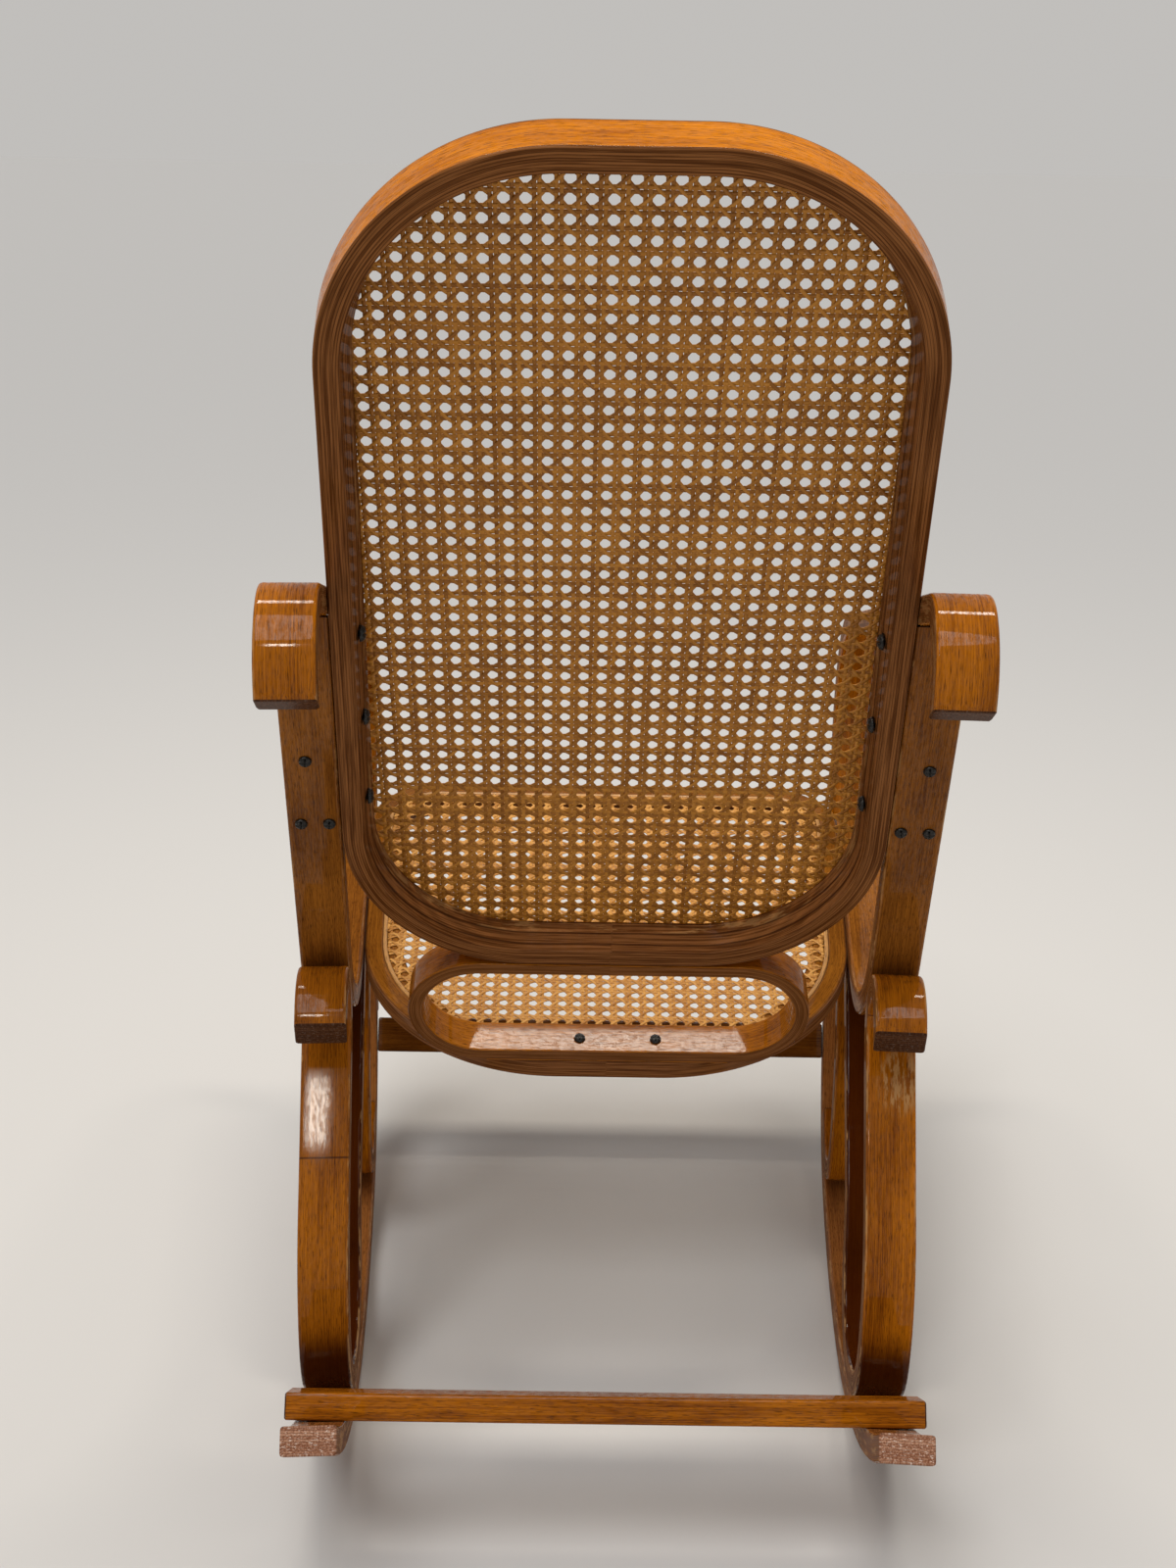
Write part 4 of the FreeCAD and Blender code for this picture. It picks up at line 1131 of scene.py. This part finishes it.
def pan_screw(bm, spot, drive, size):
    """A pan head with a cross recess, its shank going the way it is driven."""
    radius = sizes().screw_head * size
    shank, shank_length = 0.42, 0.012
    top, crown_from, recess_floor, arm_half = 0.0034, 0.0030, 0.0014, 0.14
    profile = [(0.0, top), (0.30, top), (0.62, 0.0031), (0.86, 0.0023), (0.98, 0.0010), (1.0, 0.0),
               (shank, 0.0)]
    chain = [bm.verts.new((across * radius, 0.0, rise * size)) for across, rise in profile]
    chain.append(bm.verts.new((shank * radius, 0.0, -shank_length)))
    edges = [bm.edges.new((chain[i], chain[i + 1])) for i in range(len(chain) - 1)]
    before = set(bm.faces)
    bmesh.ops.spin(bm, geom=edges, cent=(0, 0, 0), axis=(0, 0, 1), dvec=(0, 0, 0),
                   angle=2 * math.pi, steps=36, use_merge=True)
    verts = list({vert for face in bm.faces if face not in before for vert in face.verts})
    bmesh.ops.remove_doubles(bm, verts=verts, dist=1e-6)
    faces = [face for face in bm.faces if face not in before]
    crown = [face for face in faces if all(vert.co.z > crown_from * size for vert in face.verts)]
    for face in faces:
        face.smooth = True
    # The cross recess is pressed down and takes the second material, a near-black painted shade.
    for quarter in range(4):
        turn = Matrix.Rotation(-quarter * math.pi / 2, 2)
        arm = [face for face in crown
               if abs(math.atan2(*(turn @ face.calc_center_median().xy).yx)) < arm_half]
        for face in arm:
            face.material_index = 1
            for vert in face.verts:
                vert.co.z = min(vert.co.z, recess_floor * size)
    verts = list({vert for face in faces for vert in face.verts})
    turn = Vector((0, 0, -1)).rotation_difference(drive).to_matrix().to_4x4()
    bmesh.ops.transform(bm, matrix=Matrix.Translation(spot) @ turn, verts=verts)


class ROCKER_OT_screws(bpy.types.Operator):
    """Drive the black pan-head screws that show"""
    bl_idname = "rocker.screws"
    bl_label = "Screws"

    def execute(self, context):
        back = back_place()
        hoop, brace = [], []
        bottom, top = hoop_halves()
        deep = 0.36 * HOOP_DEPTH
        draft = math.tan(math.radians(10.3))
        proud = 0.0008
        for sign in (-1.0, 1.0):
            for rise in (0.322, 0.247, 0.170):
                half = bottom + rise / HOOP_HEIGHT * (top - bottom)
                reach = half - HOOP_WALL - deep * draft - proud
                drive = Matrix.Rotation(-sign * sizes().splay, 3, "Z") @ Vector((sign, 0, 0))
                hoop.append((back @ Vector((sign * reach, rise, -deep)), drive))
            side = side_place(sign)
            normal = left(UPRIGHT)
            drive = side.to_3x3() @ Vector((normal.x, normal.y, 0.0))
            for rise, inset in ((0.215, 0.0031), (0.153, 0.0095), (0.153, -0.0110)):
                corner = Vector(BACK_FOOT) + way(UPRIGHT + 180.0) * rise
                brace.append((side @ Vector((corner.x, corner.y, sign * inset)), drive))
        floor = SPACER_TOP - SPACER_HEIGHT + SPACER_WALL
        down = back.to_3x3() @ Vector((0, -1, 0))
        spacer = [(back @ Vector((x, floor, -0.0135)), down) for x in (-0.023, 0.040)]
        # The second material is painted shade for the screws' cross recess.
        looks = [screw_material("Blackened steel"),
                 plain_material("Screw recess", (0.002, 0.002, 0.002, 1.0), 0.9, 0.1)]
        for name, places, size in (("back_frame_screws", hoop, 1.25), ("arm_brace_screws", brace, 1.0),
                                   ("spacer_screws", spacer, 1.0)):
            bm = bmesh.new()
            for spot, drive in places:
                pan_screw(bm, spot, drive, size)
            bmesh.ops.recalc_face_normals(bm, faces=bm.faces)
            settle(bm, name, Matrix(), looks, "screw", weighted=False)
        return {"FINISHED"}


# Studio

def put(name, data, matrix):
    """Hang a lamp, a camera or the floor's mesh at its place in the scene."""
    thing = bpy.data.objects.new(name, data)
    thing.matrix_world = matrix
    bpy.context.scene.collection.objects.link(thing)
    return thing


def lay_floor():
    """One wide sheet, just under the soles."""
    bm = bmesh.new()
    bmesh.ops.create_grid(bm, x_segments=1, y_segments=1, size=60.0)
    mesh = bpy.data.meshes.new("studio_floor")
    bm.to_mesh(mesh)
    bm.free()
    mesh.materials.append(plain_material("Studio floor", finish("studio"), 0.9, 0.2))
    floor = put("studio_floor", mesh, Matrix.Translation((0.0, 0.0, -0.0005)))
    floor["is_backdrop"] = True


def fill_world():
    """A sky that looks like the far floor to the camera and lights the chair less."""
    lighting, seen = 0.34, 0.533
    world = bpy.data.worlds.new("Studio")
    bpy.context.scene.world = world
    world.use_nodes = True
    tree = Tree(world.node_tree)
    sky = world.node_tree.nodes["Background"].inputs
    sky["Color"].default_value = (1.0, 0.9725, 0.9380, 1.0)
    ray = tree.node("ShaderNodeLightPath").outputs
    direct = tree.math("MAXIMUM", ray["Is Camera Ray"], ray["Is Glossy Ray"])
    direct = tree.math("MAXIMUM", direct, ray["Is Transmission Ray"])
    tree.feed(sky["Strength"], tree.ramp(direct, 0.0, 1.0, lighting, seen))


def hang_lamps():
    """A long soft lamp overhead, a small one behind and an even ceiling."""
    for name, spot, aim, wide, deep, power in (
            ("overhead", (0.0, 0.46, 2.60), (0.0, 0.10, 0.3), 1.6, 0.20, 28.0),
            ("rear left", (-0.345, -2.38, 2.66), (-0.22, -0.186, 0.288), 0.10, 0.16, 2.9)):
        lamp = bpy.data.lights.new(name, "AREA")
        lamp.shape = "RECTANGLE"
        lamp.size = wide
        lamp.size_y = deep
        lamp.energy = power
        lamp.color = (1.0, 0.92, 0.80)
        turn = (Vector(aim) - Vector(spot)).to_track_quat("-Z", "Y").to_matrix().to_4x4()
        put(name, lamp, Matrix.Translation(spot) @ turn)
    lamp = bpy.data.lights.new("ceiling", "SUN")
    lamp.energy = 1.70
    lamp.angle = math.radians(40.0)
    forward = Matrix.Rotation(math.radians(20.0), 4, "X")
    put("ceiling", lamp, Matrix.Rotation(math.radians(-12.0), 4, "Y") @ forward)


def set_camera():
    """The camera of the photograph, behind the chair and a little above it."""
    spot, lens = (-0.0293, -1.4933, 1.0208), 43.42
    heading, down, tipped = math.radians(-0.38), math.radians(19.01), math.radians(1.04)
    camera = bpy.data.cameras.new("photo")
    camera.sensor_fit = "AUTO"
    camera.sensor_width = 36.0
    camera.lens = lens
    turn = Matrix.Rotation(heading, 4, "Z")
    tilt = Matrix.Rotation(math.pi / 2.0 - down, 4, "X")
    roll = Matrix.Rotation(tipped, 4, "Z")
    place = Matrix.Translation(spot) @ turn @ tilt @ roll
    bpy.context.scene.camera = put("photo", camera, place)


class ROCKER_OT_studio(bpy.types.Operator):
    """Set a plain floor, soft light and the camera"""
    bl_idname = "rocker.studio"
    bl_label = "Studio"

    def execute(self, context):
        context.scene.view_settings.view_transform = "Standard"
        lay_floor()
        fill_world()
        hang_lamps()
        set_camera()
        return {"FINISHED"}


STEPS = (ROCKER_OT_ribbons, ROCKER_OT_stretchers, ROCKER_OT_hoop, ROCKER_OT_seat_ring,
         ROCKER_OT_spacer, ROCKER_OT_back_cane, ROCKER_OT_seat_cane, ROCKER_OT_splines,
         ROCKER_OT_screws, ROCKER_OT_studio)


class ROCKER_PT_panel(bpy.types.Panel):
    """The chair's pieces, in the order they are made"""
    bl_label = "Rocking chair"
    bl_space_type = "VIEW_3D"
    bl_region_type = "UI"
    bl_category = "Rocker"

    def draw(self, context):
        layout = self.layout
        for step in STEPS:
            layout.operator(step.bl_idname)
        layout.prop(context.scene.rocker_sizes, "weave_pitch")
        layout.prop(context.scene.rocker_finish, "amber")
        layout.prop(context.scene.rocker_finish, "chestnut")


CLASSES = (RockerSizes, RockerFinish) + STEPS + (ROCKER_PT_panel,)


def register():
    for item in CLASSES:
        bpy.utils.register_class(item)
    bpy.types.Scene.rocker_sizes = bpy.props.PointerProperty(type=RockerSizes)
    bpy.types.Scene.rocker_finish = bpy.props.PointerProperty(type=RockerFinish)


def unregister():
    del bpy.types.Scene.rocker_finish
    del bpy.types.Scene.rocker_sizes
    for item in reversed(CLASSES):
        bpy.utils.unregister_class(item)


def main():
    register()
    bpy.ops.rocker.ribbons()
    bpy.ops.rocker.stretchers()
    bpy.ops.rocker.hoop()
    bpy.ops.rocker.seat_ring()
    bpy.ops.rocker.spacer()
    bpy.ops.rocker.back_cane()
    bpy.ops.rocker.seat_cane()
    bpy.ops.rocker.splines()
    bpy.ops.rocker.screws()
    bpy.ops.rocker.studio()
    plain = lambda box: [list(corner) if hasattr(corner, "__len__") else corner for corner in box]
    {"cad": plain(CAD_BOX), "visual": plain(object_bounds())}


if __name__ == "__main__":
    main()
